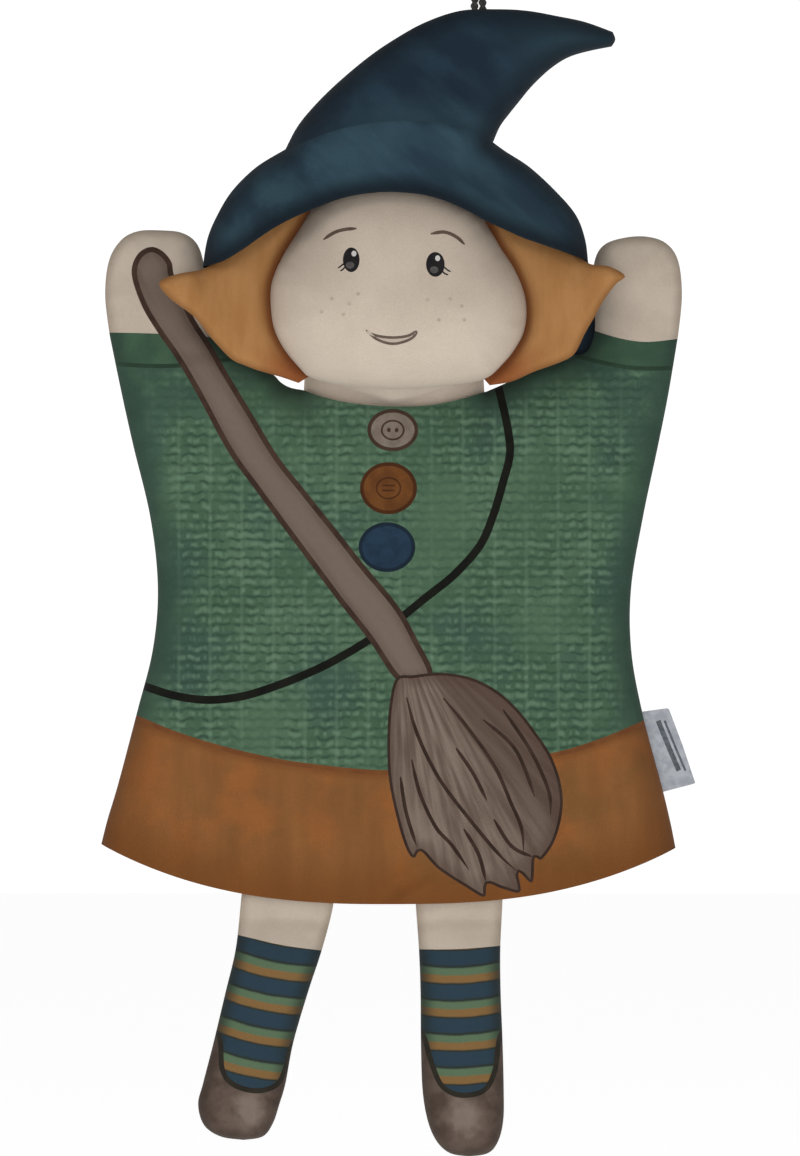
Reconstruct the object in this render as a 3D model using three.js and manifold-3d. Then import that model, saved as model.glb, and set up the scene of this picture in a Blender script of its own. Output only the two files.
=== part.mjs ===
// Glove puppet: a padded cloth witch with a hand opening at the hem, a finger pocket in the
// head and one in each arm, loose hair flaps, a floppy hat and two dangling stuffed legs.
// Units are millimetres. +Z is up and the puppet faces -Y. The origin is the centre of the
// hand opening at the hem. "right" and "left" are the puppet's own sides: right is at -X.
import * as THREE from 'three';
import { mergeVertices } from 'three/addons/utils/BufferGeometryUtils.js';
import Module from 'manifold-3d';

// ---- driving dimensions ----
const CLOTH = 1.2;            // outer cloth with its thin backing
const LINING = 0.8;           // inner glove lining
const GAP = 0.3;              // clearance between neighbouring pieces
const SEAM = 1.6;             // half thickness where two panels are sewn together
const HEM_RISE = 14.5;        // how far the hem corners curve up
const HEM_HALF = 74;          // half the width of the hem
const CUFF_Z = 147.5;         // end of the sleeves, where the hands begin
const ARM_R = 22;             // radius of the cut between body and sleeve
const ARM_CLEAR = 0.3;        // clearance on each side of that cut
const ARM_PIVOT_Z = 120;
const FOLD_CLEAR = 5;         // room above and below a cuff for the hand to fold
const COLLAR_Z = 129;         // middle of the neckline
const COLLAR_HALF = 25;       // half the width of the neckline
const COLLAR_FALL = 6.6;      // drop of the neckline at its ends, room for the head to tilt
const NECK_TOP = 133.5;
const HEAD_BOTTOM = 139.5;
const HEAD_Y = -14;           // seam plane of the head and the hat
const NECK_Y = -6;
const HEAD_HALF_DEPTH = 19;
const HAT_OVER_HEAD = 3.4;    // how far the hat stands off the head
const HAT_CLOTH = 2;
const FLANGE = 3;             // half thickness of the brim at its side corners
const CROWN_Z = 195;          // where the crown flops over
const CROWN_CLEAR = 3.5;      // room above and below that line
const LEG_Y = -9;
const LEG_TOP = -0.7;
const LOOP_CORD = 1.6;        // diameter of the hanging loop's cord

const mix = THREE.MathUtils.lerp;
const clamp01 = (s) => THREE.MathUtils.clamp(s, 0, 1);
const bulge = (s) => Math.sqrt(1 - (1 - clamp01(s)) ** 2);
const ease = (s) => clamp01(s) ** 2 * (3 - 2 * clamp01(s));

// A smooth curve through points [x, z], as a function of 0..1
function curve(points) {
  const spline = new THREE.SplineCurve(points.map(([x, z]) => new THREE.Vector2(x, z)));
  return (t) => {
    const p = spline.getPoint(clamp01(t));
    return [p.x, p.y];
  };
}

// Straight-line interpolation in a table of [key, value]
function table(rows) {
  return (key) => {
    const next = rows.findIndex((row) => row[0] >= key);
    if (next === 0) return rows[0][1];
    if (next < 0) return rows[rows.length - 1][1];
    const [k0, v0] = rows[next - 1];
    const [k1, v1] = rows[next];
    return mix(v0, v1, (key - k0) / (k1 - k0));
  };
}

// Smallest distance from (x, z) to a polyline
function distance(outline, x, z) {
  let best = Infinity;
  for (let i = 1; i < outline.length; i += 1) {
    const [ax, az] = outline[i - 1];
    const [dx, dz] = [outline[i][0] - ax, outline[i][1] - az];
    const along = clamp01(((x - ax) * dx + (z - az) * dz) / (dx * dx + dz * dz || 1));
    best = Math.min(best, Math.hypot(x - ax - along * dx, z - az - along * dz));
  }
  return best;
}

const smoothMax = (a, b) => (a + b + Math.sqrt((a - b) ** 2 + 4)) / 2;

// ---- grids: rows of [x, z] points from the lower to the upper edge of a region ----
function grid(place, columns, rows) {
  const points = [];
  for (let j = 0; j <= rows; j += 1) {
    const row = [];
    for (let i = 0; i <= columns; i += 1) row.push(place(i / columns, j / rows));
    points.push(row);
  }
  return points;
}

const between = (lower, upper) => (u, t) => {
  const [a, b] = [lower(u), upper(u)];
  return [mix(a[0], b[0], t), mix(a[1], b[1], t)];
};

const across = (left, right) => (u, t) => {
  const [a, b] = [left(t), right(t)];
  return [mix(a[0], b[0], u), mix(a[1], b[1], u)];
};

// The part of a grid that is `inset` cells inside its sides, floor and top
function inner(points, sides, floor, top) {
  const rows = points.slice(floor, points.length - top);
  return rows.map((row) => row.slice(sides, row.length - sides));
}

// ---- closed solids ----
function closedGeometry(vertices, triangles) {
  const raw = new THREE.BufferGeometry();
  raw.setAttribute('position', new THREE.Float32BufferAttribute(vertices.flat(), 3));
  raw.setIndex(triangles.flat());
  const merged = mergeVertices(raw, 1e-4);
  const old = merged.getIndex().array;
  const kept = [];
  for (let i = 0; i < old.length; i += 3) {
    const [a, b, c] = [old[i], old[i + 1], old[i + 2]];
    if (a !== b && b !== c && c !== a) kept.push(a, b, c);
  }
  merged.setIndex(kept);
  merged.computeVertexNormals();
  return merged;
}

// A sheet or pad over a grid, between the surfaces y = front(x, z) and y = back(x, z)
function slab(points, front, back) {
  const rows = points.length;
  const columns = points[0].length;
  const vertices = [];
  for (const face of [front, back]) {
    for (const row of points) for (const [x, z] of row) vertices.push([x, face(x, z), z]);
  }
  const at = (i, j) => j * columns + i;
  const behind = rows * columns;
  const triangles = [];
  for (let j = 0; j + 1 < rows; j += 1) {
    for (let i = 0; i + 1 < columns; i += 1) {
      const [a, b, c, d] = [at(i, j), at(i + 1, j), at(i + 1, j + 1), at(i, j + 1)];
      triangles.push([a, b, c], [a, c, d]);
      triangles.push([behind + a, behind + c, behind + b], [behind + a, behind + d, behind + c]);
    }
  }
  const rim = [];
  for (let i = 0; i + 1 < columns; i += 1) rim.push(at(i, 0));
  for (let j = 0; j + 1 < rows; j += 1) rim.push(at(columns - 1, j));
  for (let i = columns - 1; i > 0; i -= 1) rim.push(at(i, rows - 1));
  for (let j = rows - 1; j > 0; j -= 1) rim.push(at(0, j));
  rim.forEach((p, k) => {
    const q = rim[(k + 1) % rim.length];
    triangles.push([q, p, behind + p], [q, behind + p, behind + q]);
  });
  return closedGeometry(vertices, triangles);
}

const wasm = await Module();
wasm.setup();

function toManifold(geometry) {
  const bare = new THREE.BufferGeometry();
  bare.setAttribute('position', geometry.getAttribute('position'));
  bare.setIndex(geometry.getIndex());
  const merged = mergeVertices(bare, 1e-4);
  return new wasm.Manifold(new wasm.Mesh({
    numProp: 3,
    vertProperties: new Float32Array(merged.getAttribute('position').array),
    triVerts: new Uint32Array(merged.getIndex().array),
  }));
}

function cut(geometry, tool) {
  const mesh = toManifold(geometry).subtract(toManifold(tool)).getMesh();
  const result = new THREE.BufferGeometry();
  result.setAttribute('position', new THREE.BufferAttribute(mesh.vertProperties, 3));
  result.setIndex(new THREE.BufferAttribute(mesh.triVerts, 1));
  result.computeVertexNormals();
  return result;
}

// ---- the scene graph ----
const puppet = new THREE.Group();
const COLOURS = {
  green: 0x47644c, brown: 0x7c5230, skin: 0xb1a596, hair: 0x9f7346, hat: 0x22323c,
  lining: 0xd8d2c6, stuffing: 0xeeeae2, sock: 0x4a6650, loop: 0x5a5146, label: 0xdcdcdc,
};

function add(name, geometry, colour) {
  const material = new THREE.MeshStandardMaterial({
    color: COLOURS[colour], roughness: 0.9, metalness: 0, flatShading: true,
  });
  const mesh = new THREE.Mesh(geometry, material);
  mesh.name = name;
  puppet.add(mesh);
}

// ---- body: one printed outer shell of a front and a back panel ----
const BODY_SIDE = {
  right: table([[0, -76], [16, -75.8], [31, -71.2], [50, -66.2], [66, -62], [82, -60.8],
    [100, -62.8], [119, -67.6], [132, -70], [147.5, -73.6]]),
  left: table([[0, 74], [18, 73.6], [31, 70], [50, 65], [66, 62], [82, 62], [100, 65.2],
    [119, 69.2], [132, 71.8], [147.5, 74.4]]),
};
const ARMS = {
  right: {
    sign: -1,
    pivotX: -50,
    cuff: [[-73.6, CUFF_Z], [-47.5, CUFF_Z]],
    shoulder: [[-47.5, CUFF_Z], [-41.5, 143.2], [-31, 136], [-23.5, 133]],
    hand: [[-73.6, CUFF_Z], [-74.9, 160], [-73, 168], [-67.5, 173.6], [-61, 174.8],
      [-53.5, 173.6], [-49, 168], [-47.6, 158], [-47.5, CUFF_Z]],
  },
  left: {
    sign: 1,
    pivotX: 52,
    cuff: [[52.6, CUFF_Z], [74.4, CUFF_Z]],
    shoulder: [[52.6, CUFF_Z], [49.5, 143], [37, 137.8], [24.7, 132.5]],
    hand: [[74.4, CUFF_Z], [75.4, 160], [73.6, 168], [69.5, 172], [64.5, 173.2],
      [57, 172], [52.6, 168.5], [52.2, 158], [52.6, CUFF_Z]],
  },
};

// The sewn outline of one side: up the side seam, round the hand and down the shoulder
function sewnOutline(side) {
  const seam = [0, 16, 31, 50, 66, 82, 100, 119, 132].map((z) => [BODY_SIDE[side](z), z]);
  return [...seam, ...ARMS[side].hand, ...ARMS[side].shoulder.slice(1)];
}
const OUTLINES = [sewnOutline('right'), sewnOutline('left')];

const bodyFullness = table([[0, 15.5], [60, 12.5], [100, 9.5], [125, 7.2], [147, 6.2], [175, 6]]);
const bodyRounding = table([[0, 34], [60, 32], [100, 24], [130, 13.5], [147, 11.5], [175, 11.5]]);

function bodyDepth(x, z) {
  const inside = distance(OUTLINES[x < 0 ? 0 : 1], x, z);
  return mix(SEAM, bodyFullness(z), bulge(inside / bodyRounding(z)));
}

// The layers of a body-like shell, each between two depths on the front or the back
function shellLayers(points, depth, plane, outer, thick) {
  const near = (x, z) => depth(x, z) - outer;
  const far = (x, z) => depth(x, z) - outer - thick;
  return {
    front: slab(points, (x, z) => plane - near(x, z), (x, z) => plane - far(x, z)),
    back: slab(points, (x, z) => plane + far(x, z), (x, z) => plane + near(x, z)),
  };
}

const hemZ = (x) => HEM_RISE * Math.abs(x / HEM_HALF) ** 2.6;

function bodyTop(x) {
  const { pivotX } = ARMS[x < 0 ? 'right' : 'left'];
  const reach = ARM_R - ARM_CLEAR;
  const arc = (at) => ARM_PIVOT_Z + Math.sqrt(Math.max(0, reach ** 2 - (at - pivotX) ** 2));
  const shoulderEnd = COLLAR_HALF + 10;
  const beyond = Math.abs(x);
  if (beyond >= shoulderEnd) return arc(x);
  if (beyond <= COLLAR_HALF) return COLLAR_Z - COLLAR_FALL * (beyond / COLLAR_HALF);
  const corner = arc(Math.sign(x) * shoulderEnd);
  return mix(COLLAR_Z - COLLAR_FALL, corner, (beyond - COLLAR_HALF) / (shoulderEnd - COLLAR_HALF));
}

// Height of an edge line at the share u of the way across the body
function edgeHeight(edge, u) {
  let z = edge(0);
  for (let turn = 0; turn < 8; turn += 1) {
    z = edge(mix(BODY_SIDE.right(z), BODY_SIDE.left(z), u));
  }
  return z;
}

function bodyPlace(u, t) {
  const z = mix(edgeHeight(hemZ, u), edgeHeight(bodyTop, u), t);
  return [mix(BODY_SIDE.right(z), BODY_SIDE.left(z), u), z];
}

const BODY_GRID = grid(bodyPlace, 16, 9);
const tunic = shellLayers(BODY_GRID, bodyDepth, 0, 0, CLOTH);
add('tunic_front_panel', tunic.front, 'green');
add('tunic_back_panel', tunic.back, 'green');
const glove = shellLayers(inner(BODY_GRID, 1, 0, 1), bodyDepth, 0, CLOTH + GAP, LINING);
add('lining_front', glove.front, 'lining');
add('lining_back', glove.back, 'lining');

// ---- sleeves and hands ----
function sleevePlace(side) {
  const { sign, pivotX, cuff } = ARMS[side];
  const reach = ARM_R + ARM_CLEAR;
  const top = CUFF_Z - FOLD_CLEAR / 2;
  const lower = (u) => {
    const angle = THREE.MathUtils.degToRad(sign < 0 ? mix(152, 51, u) : mix(129, 28, u));
    return [pivotX + reach * Math.cos(angle), ARM_PIVOT_Z + reach * Math.sin(angle)];
  };
  return between(lower, (u) => [mix(cuff[0][0], cuff[1][0], u), top]);
}

function handPlace(side) {
  const edge = curve(ARMS[side].hand);
  const low = CUFF_Z + FOLD_CLEAR / 2;
  const [outer, within] = [(t) => edge(mix(0, 0.5, t)), (t) => edge(mix(1, 0.5, t))];
  const place = side === 'right' ? across(outer, within) : across(within, outer);
  return (u, t) => {
    const [x, z] = place(u, t);
    return [x, Math.max(z, low)];
  };
}

for (const side of ['right', 'left']) {
  const sleeve = shellLayers(grid(sleevePlace(side), 8, 2), bodyDepth, 0, 0, CLOTH);
  add(`${side}_sleeve_front`, sleeve.front, 'green');
  add(`${side}_sleeve_back`, sleeve.back, 'green');

  const handGrid = grid(handPlace(side), 6, 7);
  const solid = handGrid.filter((row) => row[0][1] > CUFF_Z + FOLD_CLEAR / 2);
  const first = handGrid[handGrid.length - solid.length - 1];
  const level = first.map(([x]) => [x, CUFF_Z + FOLD_CLEAR / 2]);
  const hand = shellLayers([level, ...solid], bodyDepth, 0, 0, CLOTH);
  add(`${side}_hand_front`, hand.front, 'skin');
  add(`${side}_hand_back`, hand.back, 'skin');

  const tip = inner([level, ...solid], 1, 3, 1);
  const wad = (x, z) => bodyDepth(x, z) - CLOTH - GAP;
  add(`${side}_hand_wadding`, slab(tip, (x, z) => -wad(x, z), wad), 'stuffing');
}

// ---- neck ----
function neckDepth(x) {
  return mix(SEAM, 8, bulge((COLLAR_HALF - 2 - Math.abs(x)) / 14));
}
const neckLine = (z) => (u) => [mix(-(COLLAR_HALF - 2), COLLAR_HALF - 1.5, u), z];
const NECK_GRID = grid(between(neckLine(COLLAR_Z + GAP), neckLine(NECK_TOP)), 8, 1);
const neck = shellLayers(NECK_GRID, neckDepth, NECK_Y, 0, CLOTH);
add('neck_front_band', neck.front, 'skin');
add('neck_back_band', neck.back, 'skin');

// ---- head ----
const HEAD_SIDE = {
  right: [[-23, HEAD_BOTTOM - 3], [-27, 141.8], [-30.5, 147.7], [-32, 156], [-31.5, 163],
    [-27.5, 171.5], [-22, 180], [-12, 187.5], [0.5, 190]],
  left: [[24, HEAD_BOTTOM - 3], [28.5, 141.8], [32, 147.7], [34.5, 156], [34.5, 163],
    [31, 171.5], [24, 180], [13, 187.5], [0.5, 190]],
};
const headOutline = [...HEAD_SIDE.right, ...[...HEAD_SIDE.left].reverse()];

function headInside(x, z) {
  const side = x < 0.5 ? HEAD_SIDE.right : HEAD_SIDE.left;
  const edge = table(side.map(([px, pz]) => [pz, px]))(z);
  const within = side === HEAD_SIDE.right ? x > edge : x < edge;
  return (within && z < 190 ? 1 : -1) * distance(headOutline, x, z);
}

const headDepth = (x, z) => (
  mix(SEAM, HEAD_HALF_DEPTH, bulge(Math.max(0, headInside(x, z)) / 26))
);

const headSides = [curve(HEAD_SIDE.right), curve(HEAD_SIDE.left)];
const startAt = 0.09;  // share of each side curve below the neck fold's clearance
function headPlace(u, t) {
  const along = mix(startAt, 1, t);
  const [x, z] = across(headSides[0], headSides[1])(u, along);
  return [x, Math.max(z, HEAD_BOTTOM)];
}
const HEAD_GRID = grid(headPlace, 10, 8);
const headSkin = shellLayers(HEAD_GRID, headDepth, HEAD_Y, 0, CLOTH);
add('face_panel', headSkin.front, 'skin');
add('head_back_panel', headSkin.back, 'hair');

// Finger pocket: a cloth thimble inside the stuffing, open at the neck
const POCKET = { width: 20, depth: 15, top: 168 };
function thimble(grow, wall, floor) {
  const [radius, height] = [POCKET.width / 2 + grow, POCKET.top - floor + grow];
  const shoulder = 6;
  const profile = (r, h) => [
    [r, 0], [r, h - shoulder], [r * 0.8, h - shoulder * 0.35], [r * 0.4, h], [0, h],
  ];
  const outside = profile(radius, height);
  const inside = wall ? profile(radius - wall, height - wall).reverse() : [[0, 0]];
  const loop = [...inside, ...outside].map(([r, h]) => new THREE.Vector2(r, h));
  if (!wall) loop.splice(0, 1, new THREE.Vector2(0, 0));
  const turned = new THREE.LatheGeometry(loop, 14);
  turned.deleteAttribute('normal');
  turned.deleteAttribute('uv');
  turned.rotateX(Math.PI / 2);
  turned.scale(1, POCKET.depth / POCKET.width, 1);
  turned.translate(0.5, HEAD_Y, floor);
  return turned;
}

function tidy(geometry) {
  const merged = mergeVertices(geometry, 1e-3);
  const position = merged.getAttribute('position');
  const vertices = [];
  for (let i = 0; i < position.count; i += 1) {
    vertices.push([position.getX(i), position.getY(i), position.getZ(i)]);
  }
  const index = merged.getIndex().array;
  const triangles = [];
  for (let i = 0; i < index.length; i += 3) triangles.push([index[i], index[i + 1], index[i + 2]]);
  return closedGeometry(vertices, triangles);
}

const filling = (x, z) => headDepth(x, z) - CLOTH - GAP;
const headPad = slab(
  inner(HEAD_GRID, 1, 0, 1),
  (x, z) => HEAD_Y - filling(x, z),
  (x, z) => HEAD_Y + filling(x, z),
);
add('head_stuffing', cut(headPad, tidy(thimble(GAP, 0, HEAD_BOTTOM - 2))), 'stuffing');
add('head_finger_pocket', tidy(thimble(0, LINING, HEAD_BOTTOM)), 'lining');

// ---- hat: brim and lower crown, a front and a back panel sewn along the outline ----
const HAT_SIDE = {
  right: [[-49, 166.5], [-47.6, 172.4], [-45.2, 178.6], [-41.3, 184.9], [-35.1, 191], [-28, 195]],
  left: [[50.8, 166.5], [50, 172.4], [47.6, 178.6], [41.9, 184.9], [35.6, 191], [27, 195.5]],
};
const HAT_ARCH = [[-49, 166.5], [-41, 168], [-33.2, 173.6], [-24, 180], [-11, 184.5], [2, 186],
  [15, 184], [24.5, 179], [35, 172.5], [44, 168.6], [50.8, 166.5]];
const HAT_NAPE = [[-49, 166.5], [-42, 160], [-36, 152], [-24, 147], [0.5, 146], [25, 147],
  [37.5, 152], [43.5, 160], [50.8, 166.5]];
const CROWN_EDGE = {
  upper: [[-27.5, 195.5], [-24.5, 201.5], [-20, 207], [-14, 212.9], [-6.5, 219.2], [0.3, 223.9],
    [8.6, 228.5], [17.7, 231.5], [27, 231.9], [42.9, 230.1], [57.4, 225.4]],
  lower: [[26.3, 197], [28, 201.5], [30.2, 204.5], [33, 208], [36.5, 212.5], [41, 216.7],
    [45.5, 219.6], [49.5, 220.9], [57.4, 222.4]],
};
const hatOutline = [
  ...HAT_SIDE.right, ...CROWN_EDGE.upper, ...[...CROWN_EDGE.lower].reverse(),
  ...[...HAT_SIDE.left].reverse(),
];
const crownFullness = table([[186, 17], [200, 15], [215, 12], [225, 9], [232, 7]]);

function overHead(x, z) {
  const inside = headInside(x, z) + 3;
  if (inside <= 0) return 0;
  return mix(SEAM, HEAD_HALF_DEPTH, bulge(inside / 29)) + HAT_OVER_HEAD;
}

function hatFront(x, z) {
  const puff = (crownFullness(z) - FLANGE) * ease(distance(hatOutline, x, z) / 18);
  return smoothMax(FLANGE + puff, overHead(x, z));
}

function hatBack(x, z) {
  const rise = ease((z - 178) / 14);
  const puff = (crownFullness(z) - FLANGE) * ease(distance(hatOutline, x, z) / 18) * rise;
  return smoothMax(FLANGE + puff, overHead(x, z));
}

const hatTopLine = (u) => [mix(HAT_SIDE.right[5][0], HAT_SIDE.left[5][0], u), CROWN_Z - CROWN_CLEAR];

// From the lower edge up to the crown line, with the outline's own sides
function hatPlace(lowerEdge) {
  const lower = curve(lowerEdge);
  const right = curve(HAT_SIDE.right);
  const left = curve(HAT_SIDE.left);
  const flat = between(lower, hatTopLine);
  return (u, t) => {
    const sides = [right(t), left(t)];
    const chord = [flat(0, t), flat(1, t)];
    const [x, z] = flat(u, t);
    const pull = [0, 1].map((k) => (
      (sides[0][k] - chord[0][k]) * (1 - u) + (sides[1][k] - chord[1][k]) * u
    ));
    return [x + pull[0], Math.min(z + pull[1], CROWN_Z - CROWN_CLEAR)];
  };
}

const hatFrontGrid = grid(hatPlace(HAT_ARCH), 14, 4);
const hatBackGrid = grid(hatPlace(HAT_NAPE), 12, 7);
add('hat_front_panel', slab(
  hatFrontGrid,
  (x, z) => HEAD_Y - hatFront(x, z),
  (x, z) => HEAD_Y - hatFront(x, z) + HAT_CLOTH,
), 'hat');
add('hat_back_panel', slab(
  hatBackGrid,
  (x, z) => HEAD_Y + hatBack(x, z) - HAT_CLOTH,
  (x, z) => HEAD_Y + hatBack(x, z),
), 'hat');

const crownDepth = (x, z) => (
  mix(SEAM + 0.6, crownFullness(z), bulge(distance(hatOutline, x, z) / 17))
);
const crownPlace = across(curve(CROWN_EDGE.upper), curve(CROWN_EDGE.lower));
const crownGrid = grid((u, t) => {
  const [x, z] = crownPlace(u, t);
  return [x, Math.max(z, CROWN_Z + CROWN_CLEAR)];
}, 6, 11);
const crownSkin = shellLayers(crownGrid, crownDepth, HEAD_Y, 0, CLOTH);
add('crown_front_panel', crownSkin.front, 'hat');
add('crown_back_panel', crownSkin.back, 'hat');
const crownPad = (x, z) => crownDepth(x, z) - CLOTH - GAP;
add('crown_stuffing', slab(
  inner(crownGrid, 1, 0, 1),
  (x, z) => HEAD_Y - crownPad(x, z),
  (x, z) => HEAD_Y + crownPad(x, z),
), 'stuffing');

// ---- hanging loop: a bent cord whose two ends are sewn into the crown's top seam ----
const LOOP_PATH = [[21.4, 232.9], [19.2, 237], [18.2, 242], [20, 246], [22.4, 247.2],
  [24.8, 246], [26.6, 242], [25.6, 237], [23.6, 232.9]];
const loopSection = new THREE.Shape();
loopSection.absarc(0, 0, LOOP_CORD / 2, 0, 2 * Math.PI);
const loopCord = new THREE.ExtrudeGeometry(loopSection, {
  curveSegments: 4,
  steps: 16,
  extrudePath: new THREE.CatmullRomCurve3(LOOP_PATH.map(([x, z]) => new THREE.Vector3(x, HEAD_Y, z))),
});
loopCord.deleteAttribute('normal');
loopCord.deleteAttribute('uv');
add('hanging_loop', tidy(loopCord), 'loop');

// ---- hair: one loose flap of two plies on each side of the face ----
const HAIR = {
  right: {
    upper: [[-60.4, 160.6], [-56, 161.9], [-49, 162.8], [-44, 164.2], [-39, 167.2], [-34.8, 170.6]],
    lower: [[-60.4, 159.4], [-58.6, 156.1], [-53, 152], [-46.7, 146], [-41, 140.6], [-34.8, 138.6]],
  },
  left: {
    upper: [[36.8, 170], [41, 167], [46.5, 165.3], [51, 164], [57, 163.2], [60.3, 162.8]],
    lower: [[36.8, 138.8], [41.5, 140.2], [46.6, 142.8], [52.8, 152.2], [58, 158], [60.3, 161.8]],
  },
};
const HAIR_ROOT = { right: -34.8, left: 36.8 };
const HAIR_LEAN = 6 / 25;     // how far the flap leans forward for each millimetre outward

for (const side of ['right', 'left']) {
  const { upper, lower } = HAIR[side];
  const points = grid(between(curve(lower), curve(upper)), 6, 4);
  const middle = (x) => HEAD_Y - 2.2 - HAIR_LEAN * Math.abs(x - HAIR_ROOT[side]);
  const half = GAP / 2;
  add(`${side}_hair_front_ply`, slab(points, (x) => middle(x) - half - CLOTH, (x) => middle(x) - half), 'hair');
  add(`${side}_hair_back_ply`, slab(points, (x) => middle(x) + half, (x) => middle(x) + half + CLOTH), 'hair');
}

// ---- legs: stuffed tubes with printed socks and shoes, sewn on inside the front hem ----
const LEGS = {
  right: {
    outer: [[-39.3, LEG_TOP], [-40.6, -12], [-43.2, -23], [-46.3, -36], [-49, -46.5], [-50.3, -52],
      [-48.6, -57.4], [-44.5, -60.5], [-38.5, -61.3]],
    within: [[-15.3, LEG_TOP], [-18.2, -12], [-21.8, -23], [-25.6, -36], [-27.6, -46.5],
      [-29.2, -52], [-30.8, -57.4], [-33.5, -60.5], [-38.5, -61.3]],
  },
  left: {
    outer: [[6.2, LEG_TOP], [7, -12], [7.4, -23], [7.5, -36], [7.9, -48], [9.2, -56],
      [11.5, -61.5], [15, -64.8], [20, -65.6]],
    within: [[28.6, LEG_TOP], [28.1, -12], [28.1, -23], [28.6, -36], [28.9, -48], [28.9, -56],
      [27.6, -61.5], [25, -64.8], [20, -65.6]],
  },
};
const legFullness = table([[-65, 8.4], [-50, 8.2], [-16, 7.2], [-10, 5.6], [-4.4, 2.9], [LEG_TOP, 1.8]]);

for (const side of ['right', 'left']) {
  const { outer, within } = LEGS[side];
  const outline = [...outer, ...[...within].reverse()];
  const depth = (x, z) => mix(SEAM, legFullness(z), bulge(distance(outline, x, z) / 10));
  const place = across(curve(outer), curve(within));
  const points = grid((u, t) => place(u, 1 - t), 6, 9);
  const cloth = shellLayers(points, depth, LEG_Y, 0, CLOTH);
  add(`${side}_leg_front`, cloth.front, 'sock');
  add(`${side}_leg_back`, cloth.back, 'sock');
  const pad = (x, z) => depth(x, z) - CLOTH - GAP;
  add(`${side}_leg_stuffing`, slab(
    inner(points, 1, 1, 1),
    (x, z) => LEG_Y - pad(x, z),
    (x, z) => LEG_Y + pad(x, z),
  ), 'stuffing');
}

// ---- woven label, folded into the left side seam ----
const LABEL = { top: [[66, 49.7], [71.5, 50.4]], foot: [[71.6, 29.4], [78.8, 31.2]], thick: 0.8 };
const labelEdge = (ends) => (u) => [mix(ends[0][0], ends[1][0], u), mix(ends[0][1], ends[1][1], u)];
const labelGrid = grid(between(labelEdge(LABEL.foot), labelEdge(LABEL.top)), 1, 1);
add('side_label', slab(labelGrid, () => -LABEL.thick / 2, () => LABEL.thick / 2), 'label');

export default puppet;
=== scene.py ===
import math

import bmesh
import bpy
import numpy as np
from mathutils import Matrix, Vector, kdtree, noise
from mathutils.geometry import delaunay_2d_cdt


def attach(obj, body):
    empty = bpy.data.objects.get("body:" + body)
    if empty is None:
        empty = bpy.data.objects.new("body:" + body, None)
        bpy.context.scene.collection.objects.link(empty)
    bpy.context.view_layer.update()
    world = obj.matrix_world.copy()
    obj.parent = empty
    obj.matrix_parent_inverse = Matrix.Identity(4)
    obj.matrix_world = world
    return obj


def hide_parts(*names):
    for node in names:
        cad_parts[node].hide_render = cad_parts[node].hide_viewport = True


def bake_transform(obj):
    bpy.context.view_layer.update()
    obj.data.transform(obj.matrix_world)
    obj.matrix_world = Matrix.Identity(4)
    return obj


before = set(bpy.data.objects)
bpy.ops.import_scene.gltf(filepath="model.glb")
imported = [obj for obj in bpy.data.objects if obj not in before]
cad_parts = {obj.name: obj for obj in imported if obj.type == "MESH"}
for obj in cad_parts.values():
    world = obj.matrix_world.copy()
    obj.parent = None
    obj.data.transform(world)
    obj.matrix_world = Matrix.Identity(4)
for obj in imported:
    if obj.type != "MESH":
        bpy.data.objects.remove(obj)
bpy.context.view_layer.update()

# The glove puppet's cloth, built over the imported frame. Shapes are in millimetres in the frame's
# XZ plane (X to the puppet's left, Z up, the face towards -Y) and become metres in `solid`.
MM = 0.001
SEAM_HALF = 0.15              # half the slit between two panels at their seam
CLOTH = 1.1                   # thickness of the outer cloth
HEM_HALF, HEM_RISE = 74, 14.5
CUFF_SPLIT = 147              # where the arm's cloth ends and the hand's begins
HEAD_Y, LEG_Y = -14, -9       # seam planes of the head with its hat, and of the legs
HEAD_HALF_DEPTH = 19
FLANGE_FRONT, FLANGE_BACK = 6.6, 3.2   # half thickness of the brim's loose sides
CROWN_SPLIT = 190
BEYOND = 90                   # outside every outline, for the far side of a painted area
FAR_FROM_SEAM = 9.0           # a distance at which no print darkens towards a seam
FAR_FROM_FACE = FAR_FROM_FOLD = 20.0   # the same from the face's edge; from the brim's fold, far enough for no painted highlight


# ---------------------------------------------------------------- curves and fields
SPLINE_STEPS = 24             # points between two given points of a curve, before resampling


def clamp(value):
    return np.clip(value, 0, 1)


def bulge(share):
    return np.sqrt(1 - (1 - clamp(share)) ** 2)


def ease(share):
    return clamp(share) ** 2 * (3 - 2 * clamp(share))


def mix(a, b, share):
    return a + (b - a) * share


def smooth_max(a, b):
    return (a + b + np.sqrt((a - b) ** 2 + 4)) / 2


def table(rows):
    keys, values = np.array(rows, float).T
    return lambda key: np.interp(key, keys, values)


def resample(points, step, closed=False):
    """The same line with a point about every `step`."""
    line = np.array(points, float)
    if closed:
        line = np.vstack([line, line[:1]])
    lengths = np.concatenate([[0], np.cumsum(np.hypot(*np.diff(line, axis=0).T))])
    count = max(2, int(round(lengths[-1] / step)))
    at = np.linspace(0, lengths[-1], count + 1)
    found = np.stack([np.interp(at, lengths, column) for column in line.T], axis=1)
    return found[:-1] if closed else found


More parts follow.
